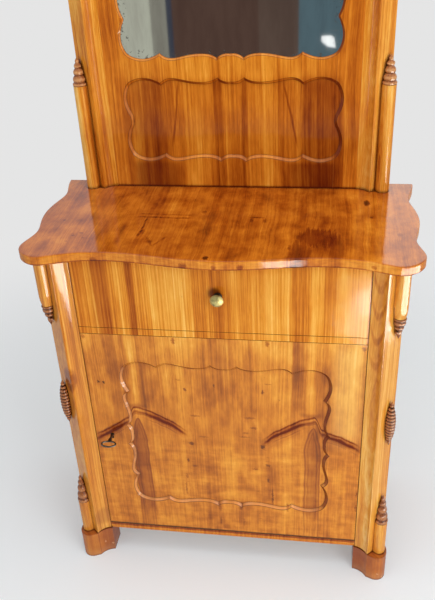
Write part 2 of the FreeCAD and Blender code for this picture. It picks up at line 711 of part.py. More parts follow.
case_plates = [hinge_plate(BASE_TOP - HINGE_PLATE), hinge_plate(DIVIDER_LOW)]
door_plates = [hinge_plate(DOOR_LOW), hinge_plate(DOOR_HIGH - HINGE_PLATE)]
case_screws = hinge_screws(BASE_TOP, False) + hinge_screws(DIVIDER_LOW, True)
door_screws = hinge_screws(DOOR_LOW, True) + hinge_screws(DOOR_HIGH, False)
pins = [rod(PIN_RADIUS, PIVOT_X, PIVOT_Y, BASE_TOP - HINGE_PLATE, DOOR_LOW + HINGE_PLATE),
        rod(PIN_RADIUS, PIVOT_X, PIVOT_Y, DOOR_HIGH - HINGE_PLATE, DIVIDER_LOW + HINGE_PLATE)]
pin_bore = rod(PIN_RADIUS + PIN_PLAY, PIVOT_X, PIVOT_Y, 0, TOP_HEIGHT)
save("hinge_case_plates", Part.makeCompound([p.cut(case_screws + pins) for p in case_plates]))
save("hinge_door_plates", Part.makeCompound([p.cut(door_screws + [pin_bore])
                                             for p in door_plates]))
save("hinge_pins", Part.makeCompound(pins))
save("hinge_case_screws", Part.makeCompound(case_screws))
save("door_screws", Part.makeCompound(door_screws + screws_of_lock))

# ---------------------------------------------------------------- case

post = corner_post().cut(foot_dowels)
save("corner_post_right", post)
save("corner_post_left", mirrored(post).cut([mortise, striker()]))
foot = front_foot()
save("front_feet", both(foot.cut(foot_dowels)))
save("rear_feet", both(rear_foot()))
save("top_board", top_board().cut(upper_dowels + [mirrored(dowel) for dowel in upper_dowels]))

BACK_LAP = 9.0                # back boards let into the sides
BACK_COUNT = 3
RUNNER_IN = SIDE_IN - RUNNER_WIDTH
DIVIDER_BACK = FACE_Y + DIVIDER_DEPTH
REAR_RAIL = 20.0
REAR_RAIL_Y = INNER_BACK - REAR_RAIL

back_half = SIDE_IN + BACK_LAP
back_step = 2 * back_half / BACK_COUNT
back_boards = [box(-back_half + index * back_step, -back_half + (index + 1) * back_step,
                   INNER_BACK, CASE_BACK, FOOT_HEIGHT, CASE_TOP) for index in range(BACK_COUNT)]
side = box(SIDE_IN, SIDE_X, POST_BACK, CASE_BACK, FOOT_HEIGHT, CASE_TOP).cut(back_boards)
save_pair("side_panel", side)
save("back_boards", Part.makeCompound(back_boards))

base_rail = box(-POST_IN, POST_IN, FACE_Y, POST_BACK, FOOT_HEIGHT, BASE_TOP)
save("base_rail", base_rail.cut(case_plates + case_screws))
save("bottom_board", box(-SIDE_IN, SIDE_IN, POST_BACK, INNER_BACK,
                         BASE_TOP - BOTTOM_BOARD, BASE_TOP))
divider = box(-POST_IN, POST_IN, FACE_Y, DIVIDER_BACK, DIVIDER_LOW, DIVIDER_TOP)
save("divider_rail", divider.cut(case_plates + case_screws))
save("drawer_rear_rail", box(-SIDE_IN, SIDE_IN, REAR_RAIL_Y, INNER_BACK,
                             DIVIDER_LOW, DIVIDER_TOP))
runner = box(RUNNER_IN, SIDE_IN, POST_BACK, REAR_RAIL_Y, DIVIDER_LOW, DIVIDER_TOP).cut(divider)
save("drawer_runners", both(runner))
dust_z = (DIVIDER_LOW + DIVIDER_TOP - DUST_BOARD) / 2
save("dust_board", box(-RUNNER_IN, RUNNER_IN, DIVIDER_BACK, REAR_RAIL_Y,
                       dust_z, dust_z + DUST_BOARD))
guide = box(POST_IN, SIDE_IN, POST_BACK, INNER_BACK, DIVIDER_TOP, DIVIDER_TOP + GUIDE_HEIGHT)
kicker = box(RUNNER_IN, SIDE_IN, POST_BACK, INNER_BACK, CASE_TOP - KICKER_HEIGHT, CASE_TOP)
save("drawer_guides", Part.makeCompound([guide, mirrored(guide), kicker, mirrored(kicker)]))

shelf_half = SIDE_IN - SHELF_PLAY
shelf_y = FACE_Y + SHELF_SETBACK
save("shelf", box(-shelf_half, shelf_half, shelf_y, INNER_BACK - SHELF_PLAY,
                  SHELF_HEIGHT, SHELF_HEIGHT + SHELF_THICK))
save("shelf_cleats", both(box(SIDE_IN - CLEAT_WIDTH, SIDE_IN, shelf_y + 5, INNER_BACK,
                              SHELF_HEIGHT - CLEAT_HEIGHT, SHELF_HEIGHT)))

STOP_PLAY = 0.3
DRAWER_BACK_Y = REAR_RAIL_Y - DRAWER_STOP
door_stop = box(0.30 * FRONT_HALF, 0.43 * FRONT_HALF, DOOR_BACK + STOP_PLAY, DOOR_BACK + 12,
                DIVIDER_LOW - 11, DIVIDER_LOW)
drawer_stop = box(RUNNER_IN + 2, POST_IN - 2, DRAWER_BACK_Y + STOP_PLAY, REAR_RAIL_Y,
                  DIVIDER_TOP, DIVIDER_TOP + 24)
save("stop_blocks", Part.makeCompound([door_stop, mirrored(door_stop),
                                       drawer_stop, mirrored(drawer_stop)]))

# ---------------------------------------------------------------- door

door_core = box(-FRONT_HALF, FRONT_HALF, CORE_Y, DOOR_BACK, DOOR_LOW, DOOR_HIGH)
lock_pocket = box(LOCK_EDGE - 1, LOCK_END, LOCK_FRONT, DOOR_BACK + 1, LOCK_LOW, LOCK_HIGH)
door_cuts = door_plates + door_screws + screws_of_lock
door_cuts += [lock_pocket, lock_cover(), keyhole(0.0, FACE_Y - 1, DOOR_BACK)]
save("door_core", door_core.cut(door_cuts))
door_field = sunk_field(DOOR_FIELD_HALF_WIDTH, DOOR_LOW + DOOR_FIELD_BELOW,
                        DOOR_HIGH - DOOR_FIELD_ABOVE, FACE_Y, BEVEL, DOOR_FIELD_SHIFT)
liner_seat = keyhole(1.3, FACE_Y - 1, FACE_Y + 1.5)
rail_lap = CUSP_INSET + RAIL_LAP
stile_left = DOOR_FIELD_SHIFT - DOOR_FIELD_HALF_WIDTH + rail_lap
stile_right = DOOR_FIELD_SHIFT + DOOR_FIELD_HALF_WIDTH - rail_lap


def door_layer(x0, x1, z0, z1):
    layer = box(x0, x1, FACE_Y, CORE_Y, z0, z1)
    return layer.cut([door_field, liner_seat] + door_cuts)


save("door_overlay", Part.makeCompound([
    door_layer(-FRONT_HALF, stile_left, DOOR_LOW, DOOR_HIGH),
    door_layer(stile_right, FRONT_HALF, DOOR_LOW, DOOR_HIGH),
    door_layer(stile_left, stile_right, DOOR_LOW, DOOR_FIELD_CENTRE),
    door_layer(stile_left, stile_right, DOOR_FIELD_CENTRE, DOOR_HIGH)]))

# ---------------------------------------------------------------- drawer

side_out = FRONT_HALF - DRAWER_SIDE_PLAY
side_in = side_out - DRAWER_SIDE
side_low = DIVIDER_TOP + DRAWER_RUN
side_high = DRAWER_HIGH - DRAWER_SIDE_DROP
lap_y = FACE_Y + 0.5 * DRAWER_FRONT
bottom_low = side_low + DRAWER_BOTTOM_RISE

drawer_bottom = box(-side_in - DRAWER_GROOVE, side_in + DRAWER_GROOVE,
                    FACE_Y + DRAWER_FRONT - DRAWER_GROOVE, DRAWER_BACK_Y,
                    bottom_low, bottom_low + DRAWER_BOTTOM)
full_side = box(side_in, side_out, lap_y, DRAWER_BACK_Y, side_low, side_high)
front_low = box(-side_out, side_out, FACE_Y, FACE_Y + DRAWER_FRONT, 0, DRAWER_LOW)
drawer_side = full_side.cut([drawer_bottom, front_low])
drawer_front = box(-FRONT_HALF, FRONT_HALF, FACE_Y, FACE_Y + DRAWER_FRONT,
                   DRAWER_LOW, DRAWER_HIGH)
knob_screw = rod_y(KNOB_SCREW, 0, KNOB_Z, FACE_Y - 9.0, FACE_Y + DRAWER_FRONT)
knob_screw = knob_screw.fuse(rod_y(2 * KNOB_SCREW, 0, KNOB_Z, FACE_Y + DRAWER_FRONT,
                                   FACE_Y + DRAWER_FRONT + 2.0)).removeSplitter()


def knob():
    """Turned brass knob with a rosette at its root."""
    reach = KNOB_PROJECTION
    body = turned((0, 0), [(8.5, 0)], [(8.0, 1.6), (5.5, 2.6)], [(4.0, 6.0), (5.0, 12.0)],
                  [(0.8 * KNOB_RADIUS, 14.5), (KNOB_RADIUS, 18.5)],
                  [(0.66 * KNOB_RADIUS, reach - 1.6), (0, reach)])
    body.rotate(Vector(0, 0, 0), Vector(1, 0, 0), 90)
    body.translate(Vector(0, FACE_Y, KNOB_Z))
    return body


save("drawer_front", drawer_front.cut([full_side, mirrored(full_side), drawer_bottom,
                                       knob_screw]))
save("drawer_sides", both(drawer_side))
save("drawer_back", box(-side_in, side_in, DRAWER_BACK_Y - DRAWER_SIDE, DRAWER_BACK_Y,
                        bottom_low + DRAWER_BOTTOM, side_high - 8))
save("drawer_bottom", drawer_bottom)
save("drawer_knob", knob().cut(knob_screw))
save("knob_screw", knob_screw)

# ---------------------------------------------------------------- lower turnings

hanging = LOWER_CORNER.seat(hanging_column(HANGING_COLUMN, COLUMN_STILT), CASE_TOP)
standing = LOWER_CORNER.seat(standing_column(STANDING_COLUMN, COLUMN_STILT), FOOT_HEIGHT)
save("half_columns", Part.makeCompound([hanging, mirrored(hanging),
                                        standing, mirrored(standing)]))
hung_drop = LOWER_CORNER.seat(drop(DROP_LENGTH), CASE_TOP - HANGING_COLUMN)
set_finial = LOWER_CORNER.seat(finial(FINIAL_HEIGHT), FOOT_HEIGHT + STANDING_COLUMN)
save("finials_and_drops", Part.makeCompound([hung_drop, mirrored(hung_drop),
                                             set_finial, mirrored(set_finial)]))
middle_z = (FOOT_HEIGHT + STANDING_COLUMN + FINIAL_HEIGHT
            + CASE_TOP - HANGING_COLUMN - DROP_LENGTH) / 2
right_spindle = LOWER_CORNER.seat(spindle(), middle_z - SPINDLE_RIGHT_DROP)
left_spindle = mirrored(LOWER_CORNER.seat(spindle(), middle_z + SPINDLE_LEFT_RISE))
save("split_spindles", Part.makeCompound([right_spindle, left_spindle]))

# ---------------------------------------------------------------- mirror upstand

upper_post = prism(post_section(UPPER_INNER, UPPER_FACE, UPPER_ARRIS, UPPER_EDGE, TOP_BACK),
                   Vector(0, 0, UPPER_HEIGHT))
upper_post.translate(Vector(0, 0, TOP_HEIGHT))
save_pair("upper_post", upper_post.cut(upper_dowels))

cutters = [sunk_field(FIELD_HALF_WIDTH, FIELD_LOW, FIELD_HIGH, UPPER_FACE, BEVEL),
           sunk_field(MIRROR_HALF_WIDTH, MIRROR_LOW, MIRROR_HIGH, UPPER_FACE, MIRROR_BEVEL)]


def overlay_rail(z0, z1):
    rail = box(-STILE_IN, STILE_IN, UPPER_FACE, UPPER_BOARD_Y, z0, z1)
    return rail.cut(cutters)


stile = box(STILE_IN, UPPER_INNER, UPPER_FACE, UPPER_BOARD_Y, TOP_HEIGHT, UPPER_TOP)
save("frame_stiles", both(stile.cut(cutters)))
save("frame_bottom_rail", overlay_rail(TOP_HEIGHT, FIELD_LOW + rail_lap))
save("frame_middle_rail", overlay_rail(FIELD_HIGH - rail_lap, MIRROR_LOW + rail_lap))
save("frame_top_rail", overlay_rail(MIRROR_HIGH - rail_lap, UPPER_TOP))

glass_half = MIRROR_HALF_WIDTH + MIRROR_LAP
glass_low = MIRROR_LOW - MIRROR_LAP
glass = box(-glass_half, glass_half, UPPER_BOARD_Y, UPPER_BOARD_Y + GLASS_THICK,
            glass_low, MIRROR_HIGH + MIRROR_LAP)
backing = box(-UPPER_INNER, UPPER_INNER, UPPER_BOARD_Y, UPPER_BACK_Y, glass_low, UPPER_TOP)
save("mirror_glass", glass)
save("mirror_backing", backing.cut(glass))
save("field_board", box(-UPPER_INNER, UPPER_INNER, UPPER_BOARD_Y, UPPER_BACK_Y,
                        TOP_HEIGHT, glass_low))
save("upper_back", box(-UPPER_INNER, UPPER_INNER, UPPER_BACK_Y, UPPER_BACK_Y + UPPER_BACK,
                       TOP_HEIGHT, UPPER_TOP))

upper_standing = UPPER_CORNER.seat(standing_column(UPPER_COLUMN, UPPER_STILT), TOP_HEIGHT)
upper_hanging = UPPER_CORNER.seat(hanging_column(UPPER_HANGING, UPPER_STILT), UPPER_TOP)
save("upper_half_columns", Part.makeCompound([upper_standing, mirrored(upper_standing),
                                              upper_hanging, mirrored(upper_hanging)]))
upper_finial = UPPER_CORNER.seat(finial(UPPER_FINIAL), TOP_HEIGHT + UPPER_COLUMN)
upper_drop = UPPER_CORNER.seat(drop(DROP_LENGTH), UPPER_TOP - UPPER_HANGING)
save("upper_finials_and_drops", Part.makeCompound([upper_finial, mirrored(upper_finial),
                                                   upper_drop, mirrored(upper_drop)]))
upper_middle_z = (TOP_HEIGHT + UPPER_COLUMN + UPPER_FINIAL
                  + UPPER_TOP - UPPER_HANGING - DROP_LENGTH) / 2
save("upper_split_spindles", both(UPPER_CORNER.seat(spindle(), upper_middle_z)))

# ---------------------------------------------------------------- cornice and crest


# Half plan of the cornice as (share of its half width, share of its depth).
CORNICE_PLAN = [(0.997, 0.0), (0.981, 0.4), (1.0, 0.77), (0.979, 0.942), (0.914, 1.0),
                (0.834, 0.93), (0.679, 0.814), (0.465, 0.802), (0.225, 0.907)]
# Half outline of the crest board as steps of (share of its half width, share of its height).
CREST_OUTLINE = [[(1.0, 0.10)], [(0.98, 0.24), (0.92, 0.22)],
                 [(0.84, 0.17), (0.70, 0.26), (0.55, 0.48), (0.427, 0.70)],
                 [(0.38, 0.74), (0.347, 0.68)],
                 [(0.26, 0.90), (0.127, 0.985), (0.0, 1.0)]]


def cornice_plan(half_width, depth, z):
    """Lobed plan that echoes the table top, against the back line."""
    right = [(share * half_width, TOP_BACK - part * depth) for share, part in CORNICE_PLAN]
    edge = right + [(0.0, TOP_BACK - 0.965 * depth)] + [(-x, y) for x, y in reversed(right)]
    return path((edge[0][0], edge[0][1], z), [(x, y, z) for x, y in edge[1:]],
                [(edge[0][0], edge[0][1], z)])


cove_half = UPPER_HALF_WIDTH + COLUMN_RADIUS + COVE_PROUD
cove_depth = TOP_BACK - UPPER_CORNER.axis.y + COLUMN_RADIUS + COVE_PROUD
cove_spread = CORNICE_HALF_WIDTH - 4.0 - cove_half
save("cornice_moulding", Part.makeLoft([
    cornice_plan(cove_half, cove_depth, UPPER_TOP),
    cornice_plan(cove_half + cove_spread, cove_depth + cove_spread, CORNICE_Z)], True, True))
cornice = prism(cornice_plan(CORNICE_HALF_WIDTH, CORNICE_DEPTH, CORNICE_Z),
                Vector(0, 0, CORNICE_THICK))
save("cornice_board", cornice)


def crest():
    """Scrolled crest board: end lobes, ogees and a raised middle."""
    w = CREST_HALF_WIDTH
    steps = [[(across * w, UPPER_FACE, CREST_Z + up * CREST_HEIGHT) for across, up in step]
             for step in CREST_OUTLINE]
    outline = path((w, UPPER_FACE, CREST_Z), *steps)
    other = mirrored(outline)
    foot_line = Part.LineSegment(Vector(-w, UPPER_FACE, CREST_Z),
                                 Vector(w, UPPER_FACE, CREST_Z)).toShape()
    ring = Part.Wire(Part.__sortEdges__(outline.Edges + other.Edges + [foot_line]))
    return prism(ring, Vector(0, CREST_THICK, 0))


def rosette():
    """Turned boss on the middle of the crest."""
    r = ROSETTE_RADIUS
    t = ROSETTE_THICK
    boss = turned((0, 0), [(r, 0)], [(r + 0.5, 0.35 * t), (0.84 * r, 0.6 * t)],
                  [(0.72 * r, 0.3 * t), (0.52 * r, 0.45 * t)], [(0.3 * r, 0.95 * t), (0, t)])
    boss.rotate(Vector(0, 0, 0), Vector(1, 0, 0), 90)
    boss.translate(Vector(0, UPPER_FACE, CREST_Z + 0.55 * CREST_HEIGHT))
    return boss


save("crest_board", crest())
save("crest_rosette", rosette())
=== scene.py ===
"""Looks of the chiffonier: materials on its CAD solids, the camera, the floor and the light."""

import math

import bpy
from mathutils import Matrix, Vector

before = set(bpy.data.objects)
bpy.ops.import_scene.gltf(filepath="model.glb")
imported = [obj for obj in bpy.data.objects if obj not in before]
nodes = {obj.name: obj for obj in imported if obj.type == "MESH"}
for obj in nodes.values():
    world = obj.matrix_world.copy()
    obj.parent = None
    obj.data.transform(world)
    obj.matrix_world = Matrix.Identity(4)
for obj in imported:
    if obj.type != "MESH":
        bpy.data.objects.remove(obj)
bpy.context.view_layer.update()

# ---------------------------------------------------------------- camera

CAMERA_AT = Vector((0.2166, -1.4366, 1.5513))
YAW, PITCH, ROLL = (math.radians(angle) for angle in (9.564, 31.325, -3.019))
SENSOR = 36.0                    # mm along the picture's long side
LENS = 46.04                     # mm


def add_camera():
    """Camera turned left by YAW, down by PITCH and then rolled."""
    level = Vector((-math.sin(YAW), math.cos(YAW), 0))
    side = Vector((math.cos(YAW), math.sin(YAW), 0))
    ahead = level * math.cos(PITCH) - Vector((0, 0, math.sin(PITCH)))
    above = level * math.sin(PITCH) + Vector((0, 0, math.cos(PITCH)))
    right = side * math.cos(ROLL) + above * math.sin(ROLL)
    up = above * math.cos(ROLL) - side * math.sin(ROLL)
    data = bpy.data.cameras.new("camera")
    data.sensor_width = SENSOR
    data.lens = LENS
    camera = bpy.data.objects.new("camera", data)
    turn = Matrix((right, up, -ahead)).transposed().to_4x4()
    camera.matrix_world = Matrix.Translation(CAMERA_AT) @ turn
    bpy.context.scene.collection.objects.link(camera)
    bpy.context.scene.camera = camera


add_camera()

# ---------------------------------------------------------------- shader arithmetic

MM = 1000.0                      # millimetres in a metre
SEAM = 3.0                       # half the width of the seam between two strips of veneer


def screen(value):
    """Linear value of a 0-255 screen value."""
    v = value / 255.0
    return v / 12.92 if v <= 0.04045 else ((v + 0.055) / 1.055) ** 2.4


def linear(rgb):
    """Linear RGBA of a 0-255 screen colour."""
    return tuple(screen(c) for c in rgb) + (1.0,)


def plug(tree, socket, value):
    """Links a shader value to the socket, or sets a plain value on it."""
    if isinstance(value, Ex):
        value = value.socket
    if isinstance(value, bpy.types.NodeSocket):
        tree.links.new(value, socket)
    else:
        socket.default_value = value


def colour_ramp(tree, value, stops):
    """Colour at value along (0-1 place, linear RGBA) stops."""
    made = tree.nodes.new("ShaderNodeValToRGB")
    elements = made.color_ramp.elements
    while len(elements) < len(stops):
        elements.new(0.5)
    # all places come before the colours, because a new place can change the elements' order
    for element, (place, rgba) in zip(elements, stops):
        element.position = place
    for element, (place, rgba) in zip(elements, stops):
        element.color = rgba
    plug(tree, made.inputs[0], value)
    return made.outputs["Color"]


class Ex:
    """A shader value that takes part in Python arithmetic."""

    def __init__(self, tree, socket):
        self.tree = tree
        self.socket = socket

    def node(self, kind, inputs, **settings):
        """New node of this kind with its inputs and settings."""
        made = self.tree.nodes.new(kind)
        for name, value in settings.items():
            setattr(made, name, value)
        for name, value in inputs.items():
            plug(self.tree, made.inputs[name], value)
        return made

    def math(self, operation, *others):
        """Result of a math node on this value and the others."""
        made = self.node("ShaderNodeMath", dict(enumerate((self,) + others)), operation=operation)
        return Ex(self.tree, made.outputs[0])

    def __add__(self, other):
        return self.math("ADD", other)

    def __radd__(self, other):
        return self.math("ADD", other)

    def __mul__(self, other):
        return self.math("MULTIPLY", other)

    def __sub__(self, other):
        return self.math("SUBTRACT", other)

    def __rsub__(self, other):
        return (self * -1.0) + other

    def __truediv__(self, other):
        return self.math("DIVIDE", other)

    def __pow__(self, other):
        return self.math("POWER", other)

    def abs(self):
        return self.math("ABSOLUTE")

    def sin(self):
        return self.math("SINE")

    def min(self, other):
        return self.math("MINIMUM", other)

    def max(self, other):
        return self.math("MAXIMUM", other)

    def clamp(self):
        return self.min(1.0).max(0.0)

    def step(self, low, high):
        """Rises smoothly from 0 at low to 1 at high."""
        made = self.node("ShaderNodeMapRange", {"Value": self, "From Min": low, "From Max": high},
                         interpolation_type="SMOOTHSTEP")
        return Ex(self.tree, made.outputs["Result"])

    def peak(self, centre, width):
        """1 at centre, falling smoothly to 0 at width away from it."""
        return (self - centre).abs().step(width, 0.0)

    def inside(self, low, high, soft):
        """1 between low and high."""
        return self.step(low - soft, low + soft) * self.step(high + soft, high - soft)

    def laid(self, strips):
        """Tone across (from, to, tone) strips laid side by side, with soft seams."""
        stops = []
        for low, high, tone in strips:
            stops += [(low + SEAM, tone), (high - SEAM, tone)]
        low, high = stops[0][0], stops[-1][0]
        place = self.node("ShaderNodeMapRange", {"Value": self, "From Min": low, "From Max": high})
        grey = [((where - low) / (high - low), (tone, tone, tone, 1.0)) for where, tone in stops]
        return Ex(self.tree, colour_ramp(self.tree, place.outputs["Result"], grey))


class Surface:
    """A material under construction, with places in millimetres in the part's own frame."""

    def __init__(self, name):
        self.material = bpy.data.materials.new(name)
        self.material.use_nodes = True
        self.tree = self.material.node_tree
        self.tree.nodes.clear()
        place = self.tree.nodes.new("ShaderNodeTexCoord")
        split = self.tree.nodes.new("ShaderNodeSeparateXYZ")
        self.tree.links.new(place.outputs["Object"], split.inputs[0])
        self.x, self.y, self.z = (Ex(self.tree, split.outputs[i]) * MM for i in range(3))
        facing = self.tree.nodes.new("ShaderNodeSeparateXYZ")
        self.tree.links.new(place.outputs["Normal"], facing.inputs[0])
        self.facing = [Ex(self.tree, facing.outputs[i]) for i in range(3)]

    def noise(self, a, b, c, detail, rough, seed):
        """Noise about 0.5 over three coordinates that are already scaled."""
        join = self.tree.nodes.new("ShaderNodeCombineXYZ")
        for socket, value in zip(join.inputs, (a, b, c)):
            plug(self.tree, socket, value)
        made = self.tree.nodes.new("ShaderNodeTexNoise")
        made.noise_dimensions = "4D"
        made.inputs["Scale"].default_value = 1.0
        made.inputs["W"].default_value = seed
        made.inputs["Detail"].default_value = detail
        made.inputs["Roughness"].default_value = rough
        self.tree.links.new(join.outputs[0], made.inputs["Vector"])
        return Ex(self.tree, made.outputs[0])

    def colour(self, tone, stops):
        """Colour at tone along (tone, screen colour) stops."""
        return colour_ramp(self.tree, tone, [(place, linear(rgb)) for place, rgb in stops])

    def mix(self, share, first, second):
        """Colour that goes from first to second with share; a tuple is a screen colour."""
        made = self.tree.nodes.new("ShaderNodeMix")
        made.data_type = "RGBA"
        plug(self.tree, made.inputs[0], share)
        for index, value in ((6, first), (7, second)):
            plug(self.tree, made.inputs[index], linear(value) if isinstance(value, tuple) else value)
        return made.outputs[2]

    def bump(self, height, millimetres, base=None):
        """Normal of the surface, or of base, raised by height times the millimetres."""
        made = self.tree.nodes.new("ShaderNodeBump")
        if base is not None:
            plug(self.tree, made.inputs["Normal"], base)
        made.inputs["Distance"].default_value = millimetres / MM
        plug(self.tree, made.inputs["Height"], height)
        return made.outputs[0]

    def hollow(self, reach):
        """1 in the open, less in grooves and corners within reach millimetres."""
        made = self.tree.nodes.new("ShaderNodeAmbientOcclusion")
        made.samples = 6
        made.inputs["Distance"].default_value = reach / MM
        return Ex(self.tree, made.outputs["AO"])

    def finish(self, colour, **inputs):
        """The material, with one shader of this colour and these inputs."""
        shader = self.tree.nodes.new("ShaderNodeBsdfPrincipled")
        plug(self.tree, shader.inputs["Base Color"], colour)
        for name, value in inputs.items():
            plug(self.tree, shader.inputs[name.replace("_", " ")], value)
        out = self.tree.nodes.new("ShaderNodeOutputMaterial")
        self.tree.links.new(shader.outputs[0], out.inputs[0])
        return self.material


# ---------------------------------------------------------------- woods

# Colours from the darkest to the lightest tone: (tone, screen colour).
CHERRY = [(0.0, (66, 18, 4)), (0.18, (112, 42, 9)), (0.36, (162, 78, 16)), (0.54, (202, 114, 28)),
          (0.72, (228, 148, 46)), (0.88, (242, 176, 76)), (1.0, (250, 200, 110))]
PINE = [(0.0, (122, 78, 40)), (0.35, (182, 128, 72)), (0.65, (214, 165, 104)), (1.0, (230, 192, 138))]
RED = (138, 52, 18)
# darkest colour of the dirt and painted shade in grooves and corners
DIRT_AND_SHADE = (30, 12, 4)

FACE = -145.5                    # y of the door's face and of the drawer front's
UPPER_FACE = 161.5               # y of the upstand frame's face
OVERLAY = 6.0                    # fretted layer that frames the sunk fields
KNOB_Z = 763.0                   # middle of the knob
AROUND = 0.9                     # share of depth added to width, so that grain goes round corners

# Tones of strips of veneer.
DARK, DULL, PLAIN, LIGHT = 0.36, 0.50, 0.58, 0.72

# Strips laid side by side (from, to, tone) on the drawer, the divider and the top of the door.
FRONT_STRIPS = [(-300, -256, PLAIN), (-256, -226, DARK), (-226, -208, DULL), (-208, -186, LIGHT),
                (-186, -172, DARK), (-172, -140, PLAIN), (-140, -54, LIGHT), (-54, 26, DULL),
                (26, 66, PLAIN), (66, 148, LIGHT), (148, 182, DULL), (182, 208, LIGHT),
                (208, 232, PLAIN), (232, 300, LIGHT)]

# The same on the frame and the field of the upstand.
UPSTAND_STRIPS = [(-272, -218, PLAIN), (-218, -186, DULL), (-186, -152, DARK), (-152, -112, DULL),
                  (-112, -38, PLAIN), (-38, -18, DARK), (-18, 16, PLAIN), (16, 30, DARK),
                  (30, 112, PLAIN), (112, 150, DULL), (150, 218, DARK), (218, 272, DULL)]

# Knots, flecks, chips and the lobes of the top's dark flame: (across, along, half width, half
# height, depth).
DOOR_MARKS = [
    (-100, 650, 4, 9, .4), (97, 652, 5, 7, .3), (-85, 519, 3, 5, .4), (85, 522, 3, 7, .4),
    (-68, 578, 12, 3, .25), (-20, 533, 2, 5, .3), (-98, 544, 7, 2, .2), (97, 544, 9, 2, .2),
    (-80, 364, 7, 5, .3), (84, 366, 6, 7, .35), (-75, 295, 8, 3, .2), (-90, 312, 3, 6, .3),
    (95, 311, 6, 4, .3), (66, 297, 9, 2, .25), (-276, 533, 3, 4, .5), (-264, 533, 3, 4, .5),
    (95, 264, 3, 7, .25), (-66, 446, 12, 3, .2), (56, 448, 14, 3, .2), (-20, 170, 4, 14, .2),
    (30, 178, 4, 12, .2), (140, 184, 3, 12, .25), (-96, 262, 3, 9, .2), (-294, 652, 4, 6, .3),
    (293, 650, 4, 6, .35), (-100, 222, 2, 22, .25), (105, 210, 2, 34, .3), (-8, 108, 12, 9, .12),
    (297, 246, 2, 10, .3), (297, 200, 2, 12, .3), (44, 392, 14, 2, .2), (-50, 386, 14, 2, .15),
    (-20, 128, 2, 16, .2), (36, 126, 2, 14, .2), (64, 420, 10, 3, .2), (46, 404, 8, 3, .2)]
TOP_MARKS = [
    (-15, -31, 6, 8, .5), (292, 231, 7, 16, .5), (66, 150, 16, 4, .2), (56, 138, 4, 12, .2),
    (-48, 172, 6, 8, .22), (300, 160, 4, 6, .22), (84, 136, 4, 10, .18), (-160, 74, 5, 12, .15),
    (-138, 30, 8, 8, .14), (-300, 50, 4, 4, .2), (-340, 120, 4, 5, .15), (352, 84, 6, 8, .12),
    (-286, 62, 5, 3, .2), (-306, 24, 3, 3, .2), (-276, 40, 3, 3, .2), (140, 20, 3, 12, .2)]
TOP_FLAME = [(196, 62, 40, 38, 1.0), (163, 0, 24, 46, .85), (228, 26, 18, 62, .55),
             (196, -10, 40, 60, .35)]
RIM_MARKS = [(-58, 852, 9, 7, .3), (2, 853, 6, 5, .2), (52, 853, 7, 6, .25), (150, 850, 6, 5, .15),
             (-240, 850, 8, 6, .2), (300, 856, 6, 5, .3)]
FOOT_CHIPS = [(-476, 34, 3, 4, 1.0), (-452, 22, 4, 3, 1.0), (146, 40, 3, 3, 1.0), (178, 20, 3, 3, 1.0),
              (196, 6, 8, 2, 1.0)]


def polish(surface, colour, tone, gloss=0.09, coat=0.6, ior=1.5, soft=1.1):
    """Old shellac over the grain, with slight ripples in the veneer and softened arrises."""
    round_off = surface.tree.nodes.new("ShaderNodeBevel")
    round_off.samples = 3
    round_off.inputs["Radius"].default_value = soft / MM
    plain = surface.tree.nodes.new("ShaderNodeNewGeometry")
    turn = surface.tree.nodes.new("ShaderNodeVectorMath")
    turn.operation = "DOT_PRODUCT"
    plug(surface.tree, turn.inputs[0], round_off.outputs[0])
    plug(surface.tree, turn.inputs[1], plain.outputs["Normal"])
    # the rounded normal leaves the plain one only along an arris, which is worn pale
    worn = Ex(surface.tree, turn.outputs["Value"]).step(0.995, 0.90)
    colour = surface.mix(worn * 0.25, colour, (232, 158, 74))
    specks = surface.noise(surface.x * 0.16, surface.y * 0.16, surface.z * 0.16, 2.0, 0.6, 5.0)
    colour = surface.mix(specks.step(0.70, 0.78) * 0.4, colour, (104, 42, 12))
    waves = surface.noise(surface.x * 0.016, surface.y * 0.016, surface.z * 0.016, 2.0, 0.45, 3.0)
    normal = surface.bump(waves * 0.10 + tone * 0.006, 6.0, base=round_off.outputs[0])
    return surface.finish(colour, Roughness=0.6, Specular_IOR_Level=0.0, Coat_Weight=coat,
                          Coat_IOR=ior, Coat_Roughness=gloss, Normal=normal, Coat_Normal=normal)


def streaks(surface, across, along, seed, fine=1.0, lines=0.60, wave=24.0):
    """Cherry's straight grain: broad bands, narrow lines and short pores."""
    sway = surface.noise(across * 0.0035, along * 0.0028, 0.0, 2.0, 0.5, seed) * wave
    line = across + sway
    bands = surface.noise(line * 0.040, along * 0.0016, 0.0, 2.0, 0.5, seed + 1)
    narrow = surface.noise(line * 0.15 * fine, along * 0.0026, 0.0, 4.0, 0.62, seed + 2)
    pores = surface.noise(line * 1.1 * fine, along * 0.040, 0.0, 2.0, 0.6, seed + 3)
    hairs = surface.noise(line * 0.42 * fine, along * 0.004, 0.0, 1.0, 0.5, seed + 4).step(0.62, 0.74)
    grain = (bands - 0.5) * 0.42 + (narrow - 0.5) * lines + (pores - 0.5) * 0.30
    return grain - hairs * 0.13


def blotches(surface, a, b, seed, size=0.011):
    """Soft light and dark areas about 0."""
    return (surface.noise(a * size, b * size, 0.0, 3.0, 0.55, seed) - 0.5) * 0.34


def dirt_and_painted_shade(surface, colour, reach=9.0, amount=0.8, start=0.92):
    """Old dirt and dark polish in the grooves, with painted shade: darker where ambient occlusion finds
    corners and grooves.
    """
    shade = surface.hollow(reach).step(start, start - 0.5) * amount
    warm = surface.mix((shade * 1.8).min(0.8), colour, (120, 44, 14))
    return surface.mix(shade, warm, DIRT_AND_SHADE)


def ring(a, b, at, up, wide, high):
    """0 at the middle of an ellipse, 1 on its outline and more outside."""
    return ((a - at) / wide) ** 2.0 + ((b - up) / high) ** 2.0


def strongest(shares):
    """The largest of several shares."""
    largest = shares[0]
    for share in shares[1:]:
        largest = largest.max(share)
    return largest


